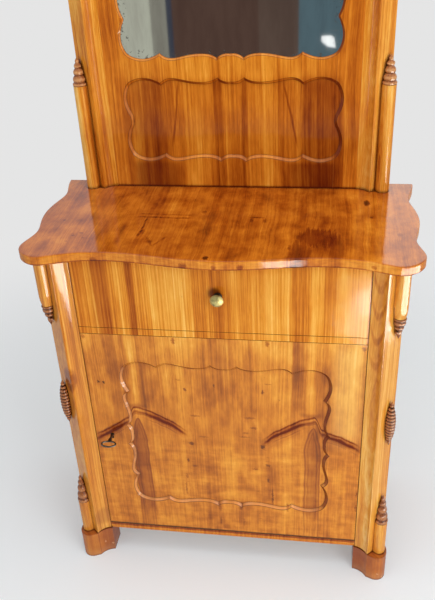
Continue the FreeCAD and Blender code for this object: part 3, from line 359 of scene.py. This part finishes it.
def spots(surface, a, b, marks):
    """Small dark knots, flecks or chips with ragged rims."""
    rag = surface.noise(a * 0.26, b * 0.26, 0.0, 3.0, 0.65, 29.0) - 0.5
    a, b = a + rag * 12.0, b - rag * 14.0
    return strongest([ring(a, b, at, up, 0.8 * wide, 0.8 * high).step(2.2, 0.0) * depth
                      for at, up, wide, high, depth in marks])


def plain_cherry(name, seed, level=0.60, along="z", contrast=1.0, dirt_and_shade_amount=0.8, **shine):
    """Cherry without a figure of its own, with its grain along z or x."""
    s = Surface(name)
    width, length = (s.x, s.z) if along == "z" else (s.z, s.x)
    across = width + s.y * AROUND
    tone = (streaks(s, across, length, seed) + blotches(s, across, length * 0.4, seed + 5)) * contrast
    tone = tone + level
    colour = s.colour(tone, CHERRY)
    ruddy = s.noise(s.x * 0.006, s.y * 0.006, s.z * 0.004, 2.0, 0.5, seed + 9).step(0.42, 0.75)
    colour = s.mix(ruddy * 0.15, colour, RED)
    # dirt and painted shade in the grooves, by the amount given
    return polish(s, dirt_and_painted_shade(s, colour, amount=dirt_and_shade_amount), tone, **shine)


def post_veneer():
    """Corner posts and half columns: straight grain, a cathedral figure and a dark bruise."""
    s = Surface("post_veneer")
    tone = streaks(s, s.x + s.y * AROUND, s.z, 71.0, fine=1.3) * 1.8
    tone = tone + blotches(s, s.x + s.y, s.z * 0.5, 76.0) * 1.4
    arch = (s.z * 0.105 - ((s.x - 315.0) / 7.0) ** 2.0 * 1.1).sin().step(0.2, 1.0)
    arch = arch * s.x.inside(302, 328, 3) * s.z.step(520, 700)
    bruise = ring(s.x, s.z, -334.0, 548.0, 15.0, 34.0).step(1.3, 0.2)
    bruise = bruise * s.noise(s.x * 0.06, s.z * 0.06, 0.0, 2.0, 0.5, 77.0).step(0.2, 0.5)
    burr = ring(s.x, s.z, -312.0, 120.0, 22.0, 30.0).step(1.2, 0.2)
    side = s.facing[0].abs().step(0.9, 1.0)
    right = s.x.step(0.0, 1.0)
    tone = tone + 0.64 + right * s.y.step(-132, -145) * 0.10 - arch * 0.20 - bruise * 0.34
    tone = tone - burr * 0.10 - side * 0.06
    colour = s.colour(tone, CHERRY)
    colour = s.mix((bruise * 0.5 + burr * 0.3 + 0.04).clamp(), colour, RED)
    foot = s.z.step(190, 90)
    colour = s.mix(0.14 + foot * 0.12, colour, (208, 160, 84))
    colour = s.mix(s.z.step(78, 75) * 0.8, colour, (70, 26, 10))
    return polish(s, dirt_and_painted_shade(s, colour, reach=6.0, amount=0.35, start=0.80), tone, coat=0.7, soft=3.0)


def rail_veneer():
    """Base rail, with painted shadow along its top where the door closes over it, and darker on faces
    set back from its front.
    """
    s = Surface("rail_veneer")
    tone = streaks(s, s.x, s.z, 91.0) + blotches(s, s.x, s.z, 96.0) + 0.58
    # painted shadow along the top, under the door's lower edge; darker on faces set back from the front
    tone = tone - s.z.step(83, 87) * 0.3 - s.y.step(-143, -138) * 0.2
    return polish(s, dirt_and_painted_shade(s, s.colour(tone, CHERRY)), tone)


def foot_veneer():
    """Feet under old dark stain, rubbed along their edges."""
    s = Surface("foot_veneer")
    grain = streaks(s, s.x + s.y * AROUND, s.z, 101.0)
    tone = grain + blotches(s, s.x * 2.0, s.z * 2.0, 106.0) * 1.4
    inward = s.x.abs().step(330, 300)
    front = s.facing[1].step(-0.5, -0.9) * s.x.step(0.0, -1.0)
    under_rim = s.z.step(73, 75) * s.facing[2].step(0.7, 0.3) * 0.3
    tone = tone + 0.46 - inward * 0.12 - under_rim + front * 0.12
    colour = s.colour(tone, CHERRY)
    colour = s.mix(inward * 0.45 + 0.30, colour, (134, 60, 34))
    colour = s.mix(s.z.step(30, 0) * 0.25 + 0.08, colour, (196, 150, 108))
    chips = spots(s, s.x + s.y, s.z, FOOT_CHIPS)
    colour = s.mix(chips * 0.6, colour, (226, 176, 128))
    return polish(s, dirt_and_painted_shade(s, colour, reach=6.0, amount=0.6), tone, gloss=0.14)


def turned_cherry():
    """Turnings under dark stain: black in the grooves with dirt and painted shade, rubbed bare on the
    ridges with a painted highlight, and painted shade on faces that look down.
    """
    s = Surface("turned_cherry")
    cuts = s.noise(s.x * 0.30, s.y * 0.30, s.z * 0.18, 3.0, 0.65, 112.0)
    wear = s.noise(s.x * 0.05, s.y * 0.05, s.z * 0.05, 2.0, 0.5, 113.0)
    # dirt and painted shade in the grooves, painted shade on faces that look down, wear and painted
    # highlight on the ridges
    groove_dirt_and_shade = s.hollow(3.5).step(0.93, 0.55)
    low = s.facing[2].step(0.05, -0.45)
    ridge_wear_and_highlight = s.facing[2].abs().step(0.62, 0.15)
    tone = (cuts - 0.5) * 0.7 + (wear - 0.5) * 0.3 + ridge_wear_and_highlight * 0.24 - groove_dirt_and_shade * 0.35 - low * 0.16
    tone = tone + 0.34 + s.z.step(900, 1000) * 0.20
    colour = s.colour(tone, [(0.0, (40, 18, 8)), (0.2, (86, 42, 20)), (0.45, (146, 84, 46)),
                             (0.7, (192, 128, 74)), (1.0, (228, 176, 116))])
    return polish(s, colour, tone, gloss=0.14, coat=0.8, soft=0.5)


def bare_inside(s, colour, seed):
    """Colour with the inner face left as plain softwood, and the share that is inner face."""
    inner = s.facing[1].step(0.3, 0.7)
    grain = streaks(s, s.x, s.z, seed) * 1.2 + blotches(s, s.x, s.z * 0.4, seed + 5) + 0.42
    return s.mix(inner, colour, s.colour(grain, PINE)), inner


def door_columns(u, v, right):
    """Dark columns either side of a light strip, and the cup that joins them above the flame."""
    column = u.peak(167, 17) * v.inside(474, 596, 14) + u.peak(219, 19) * v.inside(440, 600, 20) * 0.8
    column = column * (right * 0.35 + 0.65) + u.inside(154, 178, 5) * v.step(560, 600) * right * 0.5
    cup = v.peak(464, 10) * u.inside(168, 214, 8)
    return column, cup


def flame_wings(s, tone, u, v, right):
    """Wings of the flame: two dark lines with a light one between, feathered below.

    Returns the tone, the share of all lines and the share of the red ones.
    """
    arm = u - 199.0
    inner = (arm * -1.0).max(0.0)
    outer = arm.max(0.0)
    past = u.step(200, 216)
    fall_in = inner * (right * 0.13 + 0.22) + inner * inner * 0.0028
    fall_out = (right * 22.4 + 13.6) + outer * (0.69 - right * 0.69)
    fall_out = fall_out + outer * outer * right * 0.0036
    off = v - 462.0 + fall_in * (1.0 - past) + fall_out * past
    break_up = s.noise(s.x * 0.040, s.z * 0.040, 0.0, 3.0, 0.6, 23.0).step(0.25, 0.60)
    reach = u.inside(96, 292, 16)
    smoke = arm.abs().step(14, 50)
    first = off.peak(-1.5, 4.5) * (break_up * 0.4 + 0.6)
    second = off.peak(-14.0, 6.5) * (smoke * 0.4 + 0.6)
    body = off.inside(-22.0, -3.0, 8.0) * smoke * (break_up * 0.6 + 0.4)
    tone = tone - (first * 0.32 + second * 0.40 + body * 0.22) * reach - 0.02
    tone = tone + off.peak(-7.0, 4.0) * (1.0 - smoke) * 0.10
    haze = off.inside(-48.0, -10.0, 14.0) * reach * smoke
    feather = s.noise(off * 0.20, u * 0.012, 0.0, 3.0, 0.6, 30.0).step(0.5, 0.66)
    feather = feather * off.inside(-34.0, 4.0, 8.0) * reach
    tone = tone - haze * 0.06 - feather * 0.17
    return tone, (first + second + body) * reach, (body + second) * reach


def flame_spears(tone, u, v, right):
    """Ribbed spearheads under the wings, fading towards the foot of the door, with painted shade beside
    the sunk field's sides.

    Returns the tone and the shares of spearhead, rim and foot.
    """
    half = ((430.0 - v).max(0.0) / 64.0).min(1.0) ** 0.55 * 17.5
    within = half - (u - 197.0).abs()
    below = v.step(434, 428)
    spear = within.step(-1.5, 2.5) * below
    rim = within.peak(1.0, 3.0) * below
    ribs = within.peak(7.5, 2.4) * spear
    foot = v.step(172, 150)
    depth = (0.12 - right * 0.10) * spear + rim * 0.20 + ribs * 0.14
    tone = tone - depth * (1.0 - foot * 0.60)
    # painted shade along the sides of the sunk field, beside its bevel
    tone = tone - u.peak(207.0, 7.0) * v.inside(150, 430, 14) * 0.12
    return tone, spear, rim, foot


def lower_figure(s, tone, u, v, jitter):
    """Ripples across the lower sheets, ladders of short flecks and lighter slashes."""
    x, z = s.x, s.z
    ripple = s.noise(x * 0.014, z * 0.050, 0.0, 3.0, 0.55, 24.0) - 0.5
    tone = tone + ripple * v.step(430, 330) * 0.50
    ladder = s.noise(x * 0.07, z * 0.24, 0.0, 2.0, 0.55, 26.0).step(0.58, 0.76)
    tone = tone - ladder * v.step(430, 380) * (u - 90.0).abs().step(26, 8) * 0.20
    down = 500.0 - z
    bend = x - 34.0 - down * 0.16 - down.max(0.0) ** 2.0 * 0.0024
    slash = (bend.peak(-10.0, 9.0) + bend.peak(12.0, 7.0) * 0.8) * z.inside(402, 496, 20)
    tone = tone + slash * (jitter.abs() * 2.4 + 0.2).min(1.0) * 0.15
    tone = tone - x.peak(-2.0, 22) * v.inside(380, 620, 50) * 0.07
    cloud = s.noise(x * 0.024, z * 0.016, 0.0, 2.0, 0.5, 25.0).step(0.45, 0.68)
    return tone - cloud * v.step(170, 130) * x.abs().step(130, 60) * 0.14


def door_veneer():
    """Book-matched sheets with flame figure below and straight strips above."""
    s = Surface("door_veneer")
    x, z = s.x, s.z
    warp = s.noise(x * 0.012, z * 0.012, 0.0, 3.0, 0.55, 21.0) - 0.5
    jitter = s.noise(x * 0.05, z * 0.035, 0.0, 3.0, 0.6, 28.0) - 0.5
    lift = s.noise(x * 0.020, z * 0.014, 0.0, 3.0, 0.55, 22.0) - 0.5
    right = x.step(-3.0, -1.0)
    # u is the distance from the joint of the two sheets and v the height, both unsteady
    u = (x + 2.0).abs() + warp * 12.0
    v = z + lift * 14.0 + jitter * 5.0
    upper = v.step(440, 500)
    grain = streaks(s, x, z, 11.0, fine=1.5, lines=0.5, wave=14.0) * (upper * 0.50 + 0.95)
    tone = grain + blotches(s, x, z, 12.0) * 1.5
    tone = tone + blotches(s, x * 2.4, z, 14.0, size=0.022) * 1.4
    strips = (x + warp * 14.0).laid(FRONT_STRIPS) - 0.60
    tone = tone + strips * (upper * 0.46 + z.step(560, 640) * 0.14 + 0.08)
    tone = tone + 0.578 + z.step(590, 650) * 0.09
    column, cup = door_columns(u, v, right)
    tone = tone - column * 0.17 - cup * 0.12 + u.peak(191, 10) * v.inside(474, 640, 14) * 0.07
    # lighter towards the right of the upper door
    tone = tone + x.inside(248, 290, 8) * v.inside(420, 660, 30) * 0.12
    tone, lines, red_lines = flame_wings(s, tone, u, v, right)
    tone, spear, rim, foot = flame_spears(tone, u, v, right)
    tone = lower_figure(s, tone, u, v, jitter)
    tone = tone - spots(s, x, z, DOOR_MARKS)
    # painted shadow along the lower edge, over the gap above the base rail, and darker in the upper
    # right corner
    tone = tone - z.step(97, 92.5) * 0.7 - x.step(296, 300) * z.step(640, 660) * 0.1
    colour = s.colour(tone, CHERRY)
    red = spear * (0.45 - right * 0.12 - foot * 0.28) + rim * 0.25 + column * 0.22 + cup * 0.2
    red = red + x.peak(4.0, 24.0) * v.step(400, 440) * 0.14
    red = red + red_lines * 0.22
    colour = s.mix(red.clamp(), colour, RED)
    # paler towards the right of the upper door, and a little paler all over
    pale_share = x.inside(236, 296, 16) * v.inside(400, 660, 40) * 0.18 + 0.06
    colour = s.mix(pale_share * (1.0 - lines.clamp()), colour, (240, 214, 140))
    colour, inner = bare_inside(s, bevel_tint(s, colour, FACE), 15.0)
    return polish(s, dirt_and_painted_shade(s, colour, reach=8.0), tone, coat=0.4 - inner * 0.32)


def bevel_tint(s, colour, face, worn=1.0):
    """Sunk fields: the cut bevel between two dark lines, with a painted highlight on slopes that face
    right or up and painted shade on slopes that face left or down; worn scales the painted highlight.
    """
    slope = s.facing[1].abs().inside(0.45, 0.93, 0.04)
    grain = s.noise(s.x * 0.09, s.z * 0.09, 0.0, 2.0, 0.5, 27.0)
    # painted highlight on slopes facing right or up, painted shade on slopes facing left or down
    painted_highlight = (s.facing[0] + s.facing[2] * 0.9).clamp()
    painted_shade = (s.facing[0] * -0.9 - s.facing[2] * 0.4).clamp()
    patchy = s.noise(s.x * 0.035, s.z * 0.035, 0.0, 2.0, 0.5, 28.0).step(0.36, 0.62)
    painted_highlight = slope * painted_highlight.step(0.10, 0.45) * (patchy * 0.30 + 0.30 + grain * 0.1) * worn
    colour = s.mix(painted_highlight, colour, (238, 166, 104))
    colour = s.mix(slope * painted_shade.step(0.10, 0.45) * (patchy * 0.2 + 0.7), colour, (124, 50, 18))
    depth = s.y - face
    lines = depth.peak(0.2, 1.5) + depth.peak(OVERLAY, 1.5)
    return s.mix((lines * slope * (grain * 0.6 + 0.5)).clamp(), colour, (84, 32, 10))


def drawer_veneer():
    """Straight strips, with the knob's shadow painted above and to the left of it."""
    s = Surface("drawer_veneer")
    warp = s.noise(s.x * 0.012, s.z * 0.008, 0.0, 2.0, 0.5, 31.0) - 0.5
    strips = (s.x + warp * 14.0).laid(FRONT_STRIPS) - 0.60
    tone = streaks(s, s.x, s.z, 32.0, fine=1.8, lines=0.7, wave=10.0) * 1.4
    tone = tone + blotches(s, s.x, s.z, 33.0) * 0.8
    tone = tone + strips * 1.05 + 0.65 + s.x.inside(-262, -230, 6) * 0.05
    # shade and dirt under the top and along the right edge
    tone = tone - s.z.step(812, 845) * 0.08 - s.z.step(842.5, 845) * 0.3 - s.x.step(296.5, 299) * 0.3
    colour = s.colour(tone, CHERRY)
    colour = s.mix(s.x.inside(-262, -226, 8) * 0.2, colour, RED)
    # painted shadow of the knob, above and to the left of it
    knob_shadow_distance = ((s.x + 6.0) ** 2.0 + (s.z - KNOB_Z - 6.0) ** 2.0) ** 0.5
    colour = s.mix(knob_shadow_distance.step(17.0, 7.0) * 0.8, colour, (92, 34, 12))
    colour, inner = bare_inside(s, colour, 35.0)
    return polish(s, dirt_and_painted_shade(s, colour, reach=8.0), tone, coat=0.30 - inner * 0.25)


def upstand_veneer():
    """Frame and field of the upstand: one matched sheet, darker to either side."""
    s = Surface("upstand_veneer")
    x, z = s.x, s.z
    warp = s.noise(x * 0.010, z * 0.006, 0.0, 3.0, 0.5, 41.0) - 0.5
    u = x.abs() + warp * 20.0
    low = z.step(1140, 1085)
    strips = (x + warp * 18.0).laid(UPSTAND_STRIPS) - 0.5
    tone = streaks(s, x, z, 42.0, fine=1.2, lines=0.55) * 1.35
    tone = tone + blotches(s, x * 1.6, z * 0.6, 44.0, size=0.02) * 1.2
    tone = tone + strips * (low * 0.42 + 0.32) + 0.49 - u.step(226, 240) * 0.02
    tone = tone + z.inside(1108, 1160, 12) * u.step(250, 215) * 0.13
    # a dark line on each side that leans outwards as it goes down
    for side, foot, bend in ((-1.0, 1090.0, 0.13), (1.0, 1088.0, 0.20)):
        lean = x * side - 116.0 - (foot - z) * bend + warp * 20.0
        tone = tone - lean.peak(0.0, 4.0) * z.inside(965, 1092, 14) * 0.20
    skirt = z.step(932, 918)
    tone = tone - u.inside(118, 222, 16) * skirt * (x.step(-50, 50) * 0.07 + 0.02)
    tone = tone - z.step(871, 867) * 0.3
    colour = s.colour(tone, CHERRY)
    red = u.inside(150, 225, 26) * low * 0.25 + u.inside(118, 222, 18) * skirt * 0.35
    colour = s.mix(red.clamp(), colour, (96, 26, 8))
    colour = bevel_tint(s, colour, UPPER_FACE, worn=0.45)
    return polish(s, dirt_and_painted_shade(s, colour, reach=8.0, amount=0.7), tone, coat=0.30)


def scratches(s, x, y, warp):
    """Old scratches on the top that meet in a swirl."""
    ragged = s.noise(x * 0.08, y * 0.08, 0.0, 3.0, 0.6, 54.0).step(0.35, 0.62)
    sway = y + warp * 14.0
    marks = (sway.peak(157.0, 4.0) * 0.6 + sway.peak(142.0, 5.0)) * x.inside(-184, -74, 6)
    marks = marks + (x + 168.0 + warp * 40.0).peak(0.0, 5.0) * y.inside(52, 138, 8) * 0.8
    for slope in (-0.5, 0.5):
        arm = x + 128.0 + (y - 12.0) * slope
        marks = marks + arm.peak(0.0, 5.0) * y.inside(12, 52, 5) * 0.6
    return marks * (ragged * 0.7 + 0.3)


def top_veneer():
    """Top sheets with the grain from front to back, a swirl, knots and a dark flame."""
    s = Surface("top_veneer")
    x, y = s.x, s.y - FACE                   # y counts back from the face of the door
    warp = s.noise(x * 0.009, y * 0.009, 0.0, 3.0, 0.55, 51.0) - 0.5
    a = x + warp * 20.0
    tone = streaks(s, a, y, 52.0, fine=1.5, lines=0.40, wave=12.0) * 1.1
    tone = tone + blotches(s, x, y, 53.0, size=0.014) * 1.5 - 0.02
    # two dark bands at the middle and a light one to the right
    tone = tone + 0.475 - a.peak(-30.0, 24.0) * 0.10 - a.peak(27.0, 16.0) * 0.10
    tone = tone + a.inside(250, 330, 14) * 0.06
    cloudy = s.noise(x * 0.030, y * 0.020, 0.0, 4.0, 0.6, 56.0) - 0.5
    tone = tone + cloudy * 0.62
    wild = s.noise(x * 0.022, y * 0.016, 0.0, 4.0, 0.65, 55.0) - 0.5
    fringe = s.noise(x * 0.17, y * 0.012, 0.0, 4.0, 0.7, 58.0) - 0.5
    fx, fy = x + warp * 16.0 + wild * 40.0, y + wild * 50.0 + fringe * 130.0
    flame = strongest([ring(fx, fy, at, up, wide, high).step(1.4, 0.45) * depth
                       for at, up, wide, high, depth in TOP_FLAME])
    stem = (fx - 202.0).peak(0.0, 17.0) * y.inside(96, 176, 24)
    tone = tone - flame * 0.23 - stem * 0.10 - 0.02
    tone = tone - (x + 204.0 + warp * 20.0).peak(0.0, 12.0) * y.inside(20, 112, 16) * 0.14
    tone = tone - scratches(s, x, y, warp) * 0.34
    tone = tone + (x - 80.0 + warp * 16.0).peak(0.0, 3.0) * y.inside(48, 112, 8) * 0.10
    tone = tone - spots(s, x, y, TOP_MARKS)
    rim = s.facing[2].step(0.9, 0.4)
    dashes = s.noise(x * 0.05, s.z * 0.12, 0.0, 3.0, 0.6, 57.0) - 0.5
    edge = 0.16 - spots(s, x, s.z, RIM_MARKS) + dashes * 0.5 - s.z.step(851, 848) * 0.25 - flame * 0.1
    tone = tone + rim * edge
    colour = s.colour(tone, CHERRY)
    colour = s.mix((flame * 0.3 + stem * 0.2 + 0.03) * (1.0 - rim), colour, (110, 34, 10))
    pale = (x + 225.0 + y * 0.24).peak(0.0, 34.0) * y.step(20, 120) * (1.0 - rim) * 0.22
    colour = s.mix(pale, colour, (214, 142, 96))
    colour = dirt_and_painted_shade(s, colour, reach=7.0, amount=0.5)
    return polish(s, colour, tone, gloss=0.07, coat=1.0 - rim * 0.55, ior=1.6)


def pine(name, seed, along="z"):
    """Softwood boards left unpolished: uneven rings, dust and painted shade in the corners."""
    s = Surface(name)
    across, length = (s.x, s.z) if along == "z" else (s.z + s.y, s.x)
    sway = s.noise(across * 0.005, length * 0.003, 0.0, 2.0, 0.5, seed) * 70.0
    line = across + sway
    tone = (s.noise(line * 0.16, length * 0.002, 0.0, 3.0, 0.6, seed + 1) - 0.5) * 0.8
    tone = tone + (s.noise(line * 0.9, length * 0.01, 0.0, 2.0, 0.6, seed + 3) - 0.5) * 0.3
    tone = tone + blotches(s, across, length, seed + 2, size=0.006) + 0.55
    colour = s.colour(tone, PINE)
    # dust and painted shade in the corners, where ambient occlusion finds them
    dust_and_shade = s.hollow(25.0).step(0.85, 0.3) * 0.5
    colour = s.mix(dust_and_shade, colour, (58, 42, 30))
    return s.finish(colour, Roughness=0.78, Specular_IOR_Level=0.2, Normal=s.bump(tone, 0.3))


def metal(name, dark, light, rough, seed, metallic=1.0, shade=0.9, neck_dirt_and_shade=None):
    """Old metal, dark in its hollows, with dirt and painted shade on its neck between the two y values
    given.
    """
    s = Surface(name)
    wear = s.noise(s.x * 0.12, s.y * 0.12, s.z * 0.12, 4.0, 0.6, seed)
    grey = wear.step(0.2, 0.6) * s.hollow(6.0).step(0.2, shade)
    colour = s.mix(grey, dark, light)
    # dirt and painted shade on the knob's neck, behind its disc
    if neck_dirt_and_shade:
        colour = s.mix(s.y.step(*neck_dirt_and_shade), colour, (46, 32, 16))
    return s.finish(colour, Metallic=metallic, Roughness=rough - wear * 0.15, Normal=s.bump(wear, 0.2))


def mirror():
    """Old silvering, faintly clouded and foxed towards its edges."""
    s = Surface("mirror")
    flecks = s.noise(s.x * 0.11, s.z * 0.11, 0.0, 4.0, 0.7, 61.0)
    edge = s.x.abs().step(190, 238).max(s.z.step(1190, 1145)).max(s.z.step(1725, 1775))
    fox = (flecks + edge * 0.16).step(0.66, 0.76)
    cloud = s.noise(s.x * 0.022, s.z * 0.005, 0.0, 4.0, 0.6, 62.0).step(0.35, 0.68)
    colour = s.mix(fox, s.mix(cloud, (228, 230, 226), (208, 207, 204)), (40, 32, 28))
    return s.finish(colour, Metallic=1.0, Roughness=fox * 0.35 + 0.03)


# ---------------------------------------------------------------- materials on the solids

MATERIALS = {
    "door": door_veneer(),
    "drawer": drawer_veneer(),
    "upstand": upstand_veneer(),
    "top": top_veneer(),
    "post": post_veneer(),
    "upper_post": plain_cherry("upper_post_veneer", 75.0, level=0.74, contrast=1.8, dirt_and_shade_amount=0.55, coat=0.5),
    "side": plain_cherry("side_veneer", 81.0, level=0.58),
    "rail": rail_veneer(),
    "cornice": plain_cherry("cornice_veneer", 95.0, level=0.52, along="x"),
    "foot": foot_veneer(),
    "turned": turned_cherry(),
    "pine": pine("pine", 121.0),
    "pine_x": pine("pine_crosswise", 131.0, along="x"),
    "brass": metal("brass", (84, 76, 42), (184, 172, 112), rough=0.55, seed=141.0, metallic=0.7,
                   shade=0.75, neck_dirt_and_shade=(-162.0, -158.0)),
    "iron": metal("iron", (38, 34, 32), (112, 106, 98), rough=0.50, seed=151.0),
    "mirror": mirror(),
}

# Solids that each material goes on.
DRESS = {
    "door": "door_core door_overlay",
    "drawer": "drawer_front divider_rail",
    "upstand": "frame_stiles frame_bottom_rail frame_middle_rail frame_top_rail field_board",
    "top": "top_board",
    "post": "corner_post_left corner_post_right half_columns",
    "upper_post": "upper_post_left upper_post_right upper_half_columns",
    "side": "side_panel_left side_panel_right",
    "rail": "base_rail",
    "cornice": "cornice_moulding cornice_board crest_board",
    "foot": "front_feet",
    "turned": "finials_and_drops split_spindles upper_finials_and_drops upper_split_spindles "
              "crest_rosette",
    "pine": "back_boards upper_back mirror_backing rear_feet dowels",
    "pine_x": "bottom_board drawer_rear_rail drawer_runners dust_board drawer_guides shelf shelf_cleats "
              "stop_blocks drawer_sides drawer_back drawer_bottom",
    "brass": "drawer_knob keyhole_liner",
    "iron": "lock_striker hinge_case_plates hinge_pins hinge_case_screws hinge_door_plates door_screws "
            "lock_case lock_cover lock_spring knob_screw lock_bolt key",
    "mirror": "mirror_glass",
}

for key, names in DRESS.items():
    for name in names.split():
        node = nodes[name]
        node.data.materials.clear()
        node.data.materials.append(MATERIALS[key])

# ---------------------------------------------------------------- floor and light

BACKDROP = 229                   # screen value of the plain floor and background
WHITE = (1.0, 1.0, 1.0, 1.0)
MIDDLE = (0.0, 0.0, 0.75)        # point that the window and room lamps face, in metres
SUN_SPOT = (0.86, -1.74)         # place of the low lamp that stands for sunlight on the floor


def camera_or_glossy(tree):
    """1 for what the camera, a reflection or a refraction sees."""
    path = tree.nodes.new("ShaderNodeLightPath")
    total = Ex(tree, path.outputs["Is Camera Ray"]) + Ex(tree, path.outputs["Is Glossy Ray"])
    return (total + Ex(tree, path.outputs["Is Transmission Ray"])).min(1.0)


def glow(tree, kind, colour, strength):
    """Background or emission shader."""
    made = tree.nodes.new(kind)
    plug(tree, made.inputs["Color"], colour)
    made.inputs["Strength"].default_value = strength
    return made


def add_output(tree, kind, share, first, second):
    """Output of this kind that goes from the first shader to the second with share."""
    mix = tree.nodes.new("ShaderNodeMixShader")
    plug(tree, mix.inputs[0], share)
    tree.links.new(first.outputs[0], mix.inputs[1])
    tree.links.new(second.outputs[0], mix.inputs[2])
    out = tree.nodes.new(kind)
    tree.links.new(mix.outputs[0], out.inputs[0])


def add_world():
    """Faint even light, with the plain background for the camera and for reflections."""
    world = bpy.data.worlds.new("studio")
    world.use_nodes = True
    tree = world.node_tree
    tree.nodes.clear()
    light = glow(tree, "ShaderNodeBackground", WHITE, 0.32)
    back = glow(tree, "ShaderNodeBackground", linear((BACKDROP,) * 3), 1.0)
    add_output(tree, "ShaderNodeOutputWorld", camera_or_glossy(tree), light, back)
    bpy.context.scene.world = world


def plane(name, corners):
    """Flat face that is part of the stage."""
    mesh = bpy.data.meshes.new(name)
    mesh.from_pydata(corners, [], [tuple(range(len(corners)))])
    made = bpy.data.objects.new(name, mesh)
    bpy.context.scene.collection.objects.link(made)
    return made


def add_floor():
    """Pale floor that keeps the shadow near the part, darkened there by a painted shadow, and meets the
    background far from it.

    The pool of light round the low lamp is painted over as the far floor is.
    """
    size = 30.0
    floor = plane("floor", [(-size, -size, 0), (size, -size, 0), (size, size, 0), (-size, size, 0)])
    s = Surface("floor")
    tree = s.tree
    far = (s.x * s.x + s.y * s.y).step(700.0 ** 2, 2000.0 ** 2)
    pool = (s.x - SUN_SPOT[0] * MM) ** 2.0 + (s.y - SUN_SPOT[1] * MM) ** 2.0
    far = far.max(pool.step(1450.0 ** 2, 550.0 ** 2))
    # painted shadow: the floor's glow is darker and bluer where ambient occlusion finds the part close
    # by
    glow_with_painted_shadow = s.mix(s.hollow(450.0).step(0.45, 0.98), (238, 244, 249), (BACKDROP + 26,) * 3)
    painted = glow(tree, "ShaderNodeEmission", s.mix(far, glow_with_painted_shadow, (BACKDROP,) * 3), 1.0)
    cloth = tree.nodes.new("ShaderNodeBsdfDiffuse")
    cloth.inputs["Color"].default_value = (0.91, 0.96, 0.99, 1.0)
    share = camera_or_glossy(tree) * (far * 0.75 + 0.25)
    add_output(tree, "ShaderNodeOutputMaterial", share, cloth, painted)
    floor.data.materials.append(s.material)


def add_card(name, corners, colour, strength):
    """Bright or tinted card that only reflections see."""
    card = plane(name, corners)
    s = Surface(name)
    shine = glow(s.tree, "ShaderNodeEmission", linear(colour), strength)
    out = s.tree.nodes.new("ShaderNodeOutputMaterial")
    s.tree.links.new(shine.outputs[0], out.inputs[0])
    card.data.materials.append(s.material)
    card.visible_camera = False
    card.visible_diffuse = False
    card.visible_transmission = False
    card.visible_volume_scatter = False
    card.visible_shadow = False


def add_lamp(name, at, target, size, power, glossy=True):
    """Rectangular lamp at a place, pointed at a target; size is in metres and power in watts."""
    data = bpy.data.lights.new(name, "AREA")
    data.shape = "RECTANGLE"
    data.size, data.size_y = size
    data.energy = power
    lamp = bpy.data.objects.new(name, data)
    at = Vector(at)
    lamp.matrix_world = (Matrix.Translation(at)
                         @ (Vector(target) - at).to_track_quat("-Z", "Y").to_matrix().to_4x4())
    lamp.visible_camera = False
    lamp.visible_glossy = glossy
    bpy.context.scene.collection.objects.link(lamp)


add_world()
add_floor()
add_lamp("window", (2.1, -2.3, 2.0), MIDDLE, (1.8, 2.2), 36.0)
add_lamp("room", (-1.9, -2.4, 1.9), MIDDLE, (2.4, 2.0), 11.0)
add_lamp("ceiling", (0.3, -0.3, 3.1), (0.1, -0.1, 0.0), (2.2, 2.2), 42.0, glossy=False)
add_lamp("sunlit_floor", SUN_SPOT + (0.03,), (0.1, -0.15, 0.62), (0.62, 0.5), 15.0, glossy=False)

# Window light on the floor, to the sides and behind, as reflections see it:
# (name, corners, strength).
LIGHT_PATCHES = [
    ("patch_floor", [(0.27, -1.16, 0.012), (0.75, -0.84, 0.012), (1.30, -0.15, 0.012),
                     (2.2, 0.3, 0.012), (2.2, -1.9, 0.012), (0.50, -1.9, 0.012),
                     (0.44, -1.56, 0.012), (0.32, -1.50, 0.012)], 18.0),
    ("patch_drawer", [(0.335, -1.24, 0.014), (0.43, -1.24, 0.014), (0.43, -1.48, 0.014),
                      (0.335, -1.48, 0.014)], 40.0),
    ("patch_left", [(-2.6, -2.1, 0.0), (-2.6, -1.5, 0.0), (-2.6, -1.5, 0.9), (-2.6, -2.1, 0.9)], 4.0),
    ("patch_right", [(2.6, -2.1, 0.0), (2.6, -1.5, 0.0), (2.6, -1.5, 0.9), (2.6, -2.1, 0.9)], 4.0),
    ("patch_behind", [(0.42, 2.0, 1.2), (3.0, 2.0, 1.2), (3.0, 2.0, 2.6), (0.42, 2.0, 2.6)], 1.8),
]
for name, corners, strength in LIGHT_PATCHES:
    add_card(name, corners, (255, 250, 240), strength)

# What the mirror shows of the room, side by side: (name, from x, to x, colour).
ROOM = [("room_wall", -9.0, -0.91, (186, 187, 173)), ("room_blind", -0.91, -0.81, (142, 140, 130)),
        ("room_gap", -0.81, -0.775, (62, 66, 80)), ("room_wardrobe", -0.775, -0.25, (90, 68, 60)),
        ("room_doorway", -0.25, -0.01, (96, 78, 70)), ("room_curtain", -0.01, 0.90, (87, 108, 118)),
        ("room_far_wall", 0.90, 9.0, (180, 180, 176))]
ROOM_Y, ROOM_TOP = -3.0, 6.0
for name, low, high, colour in ROOM:
    add_card(name, [(low, ROOM_Y, 0.0), (high, ROOM_Y, 0.0), (high, ROOM_Y, ROOM_TOP),
                    (low, ROOM_Y, ROOM_TOP)], colour, 1.0)

LAMP_OUTLINE = [(0.165, 0.425), (0.212, 0.418), (0.202, 0.475), (0.185, 0.490), (0.126, 0.488),
                (0.128, 0.455)]
add_card("room_lamp", [(x, ROOM_Y + 0.01, z) for x, z in LAMP_OUTLINE], (250, 252, 255), 1.3)

bpy.context.scene.view_settings.view_transform = "Standard"
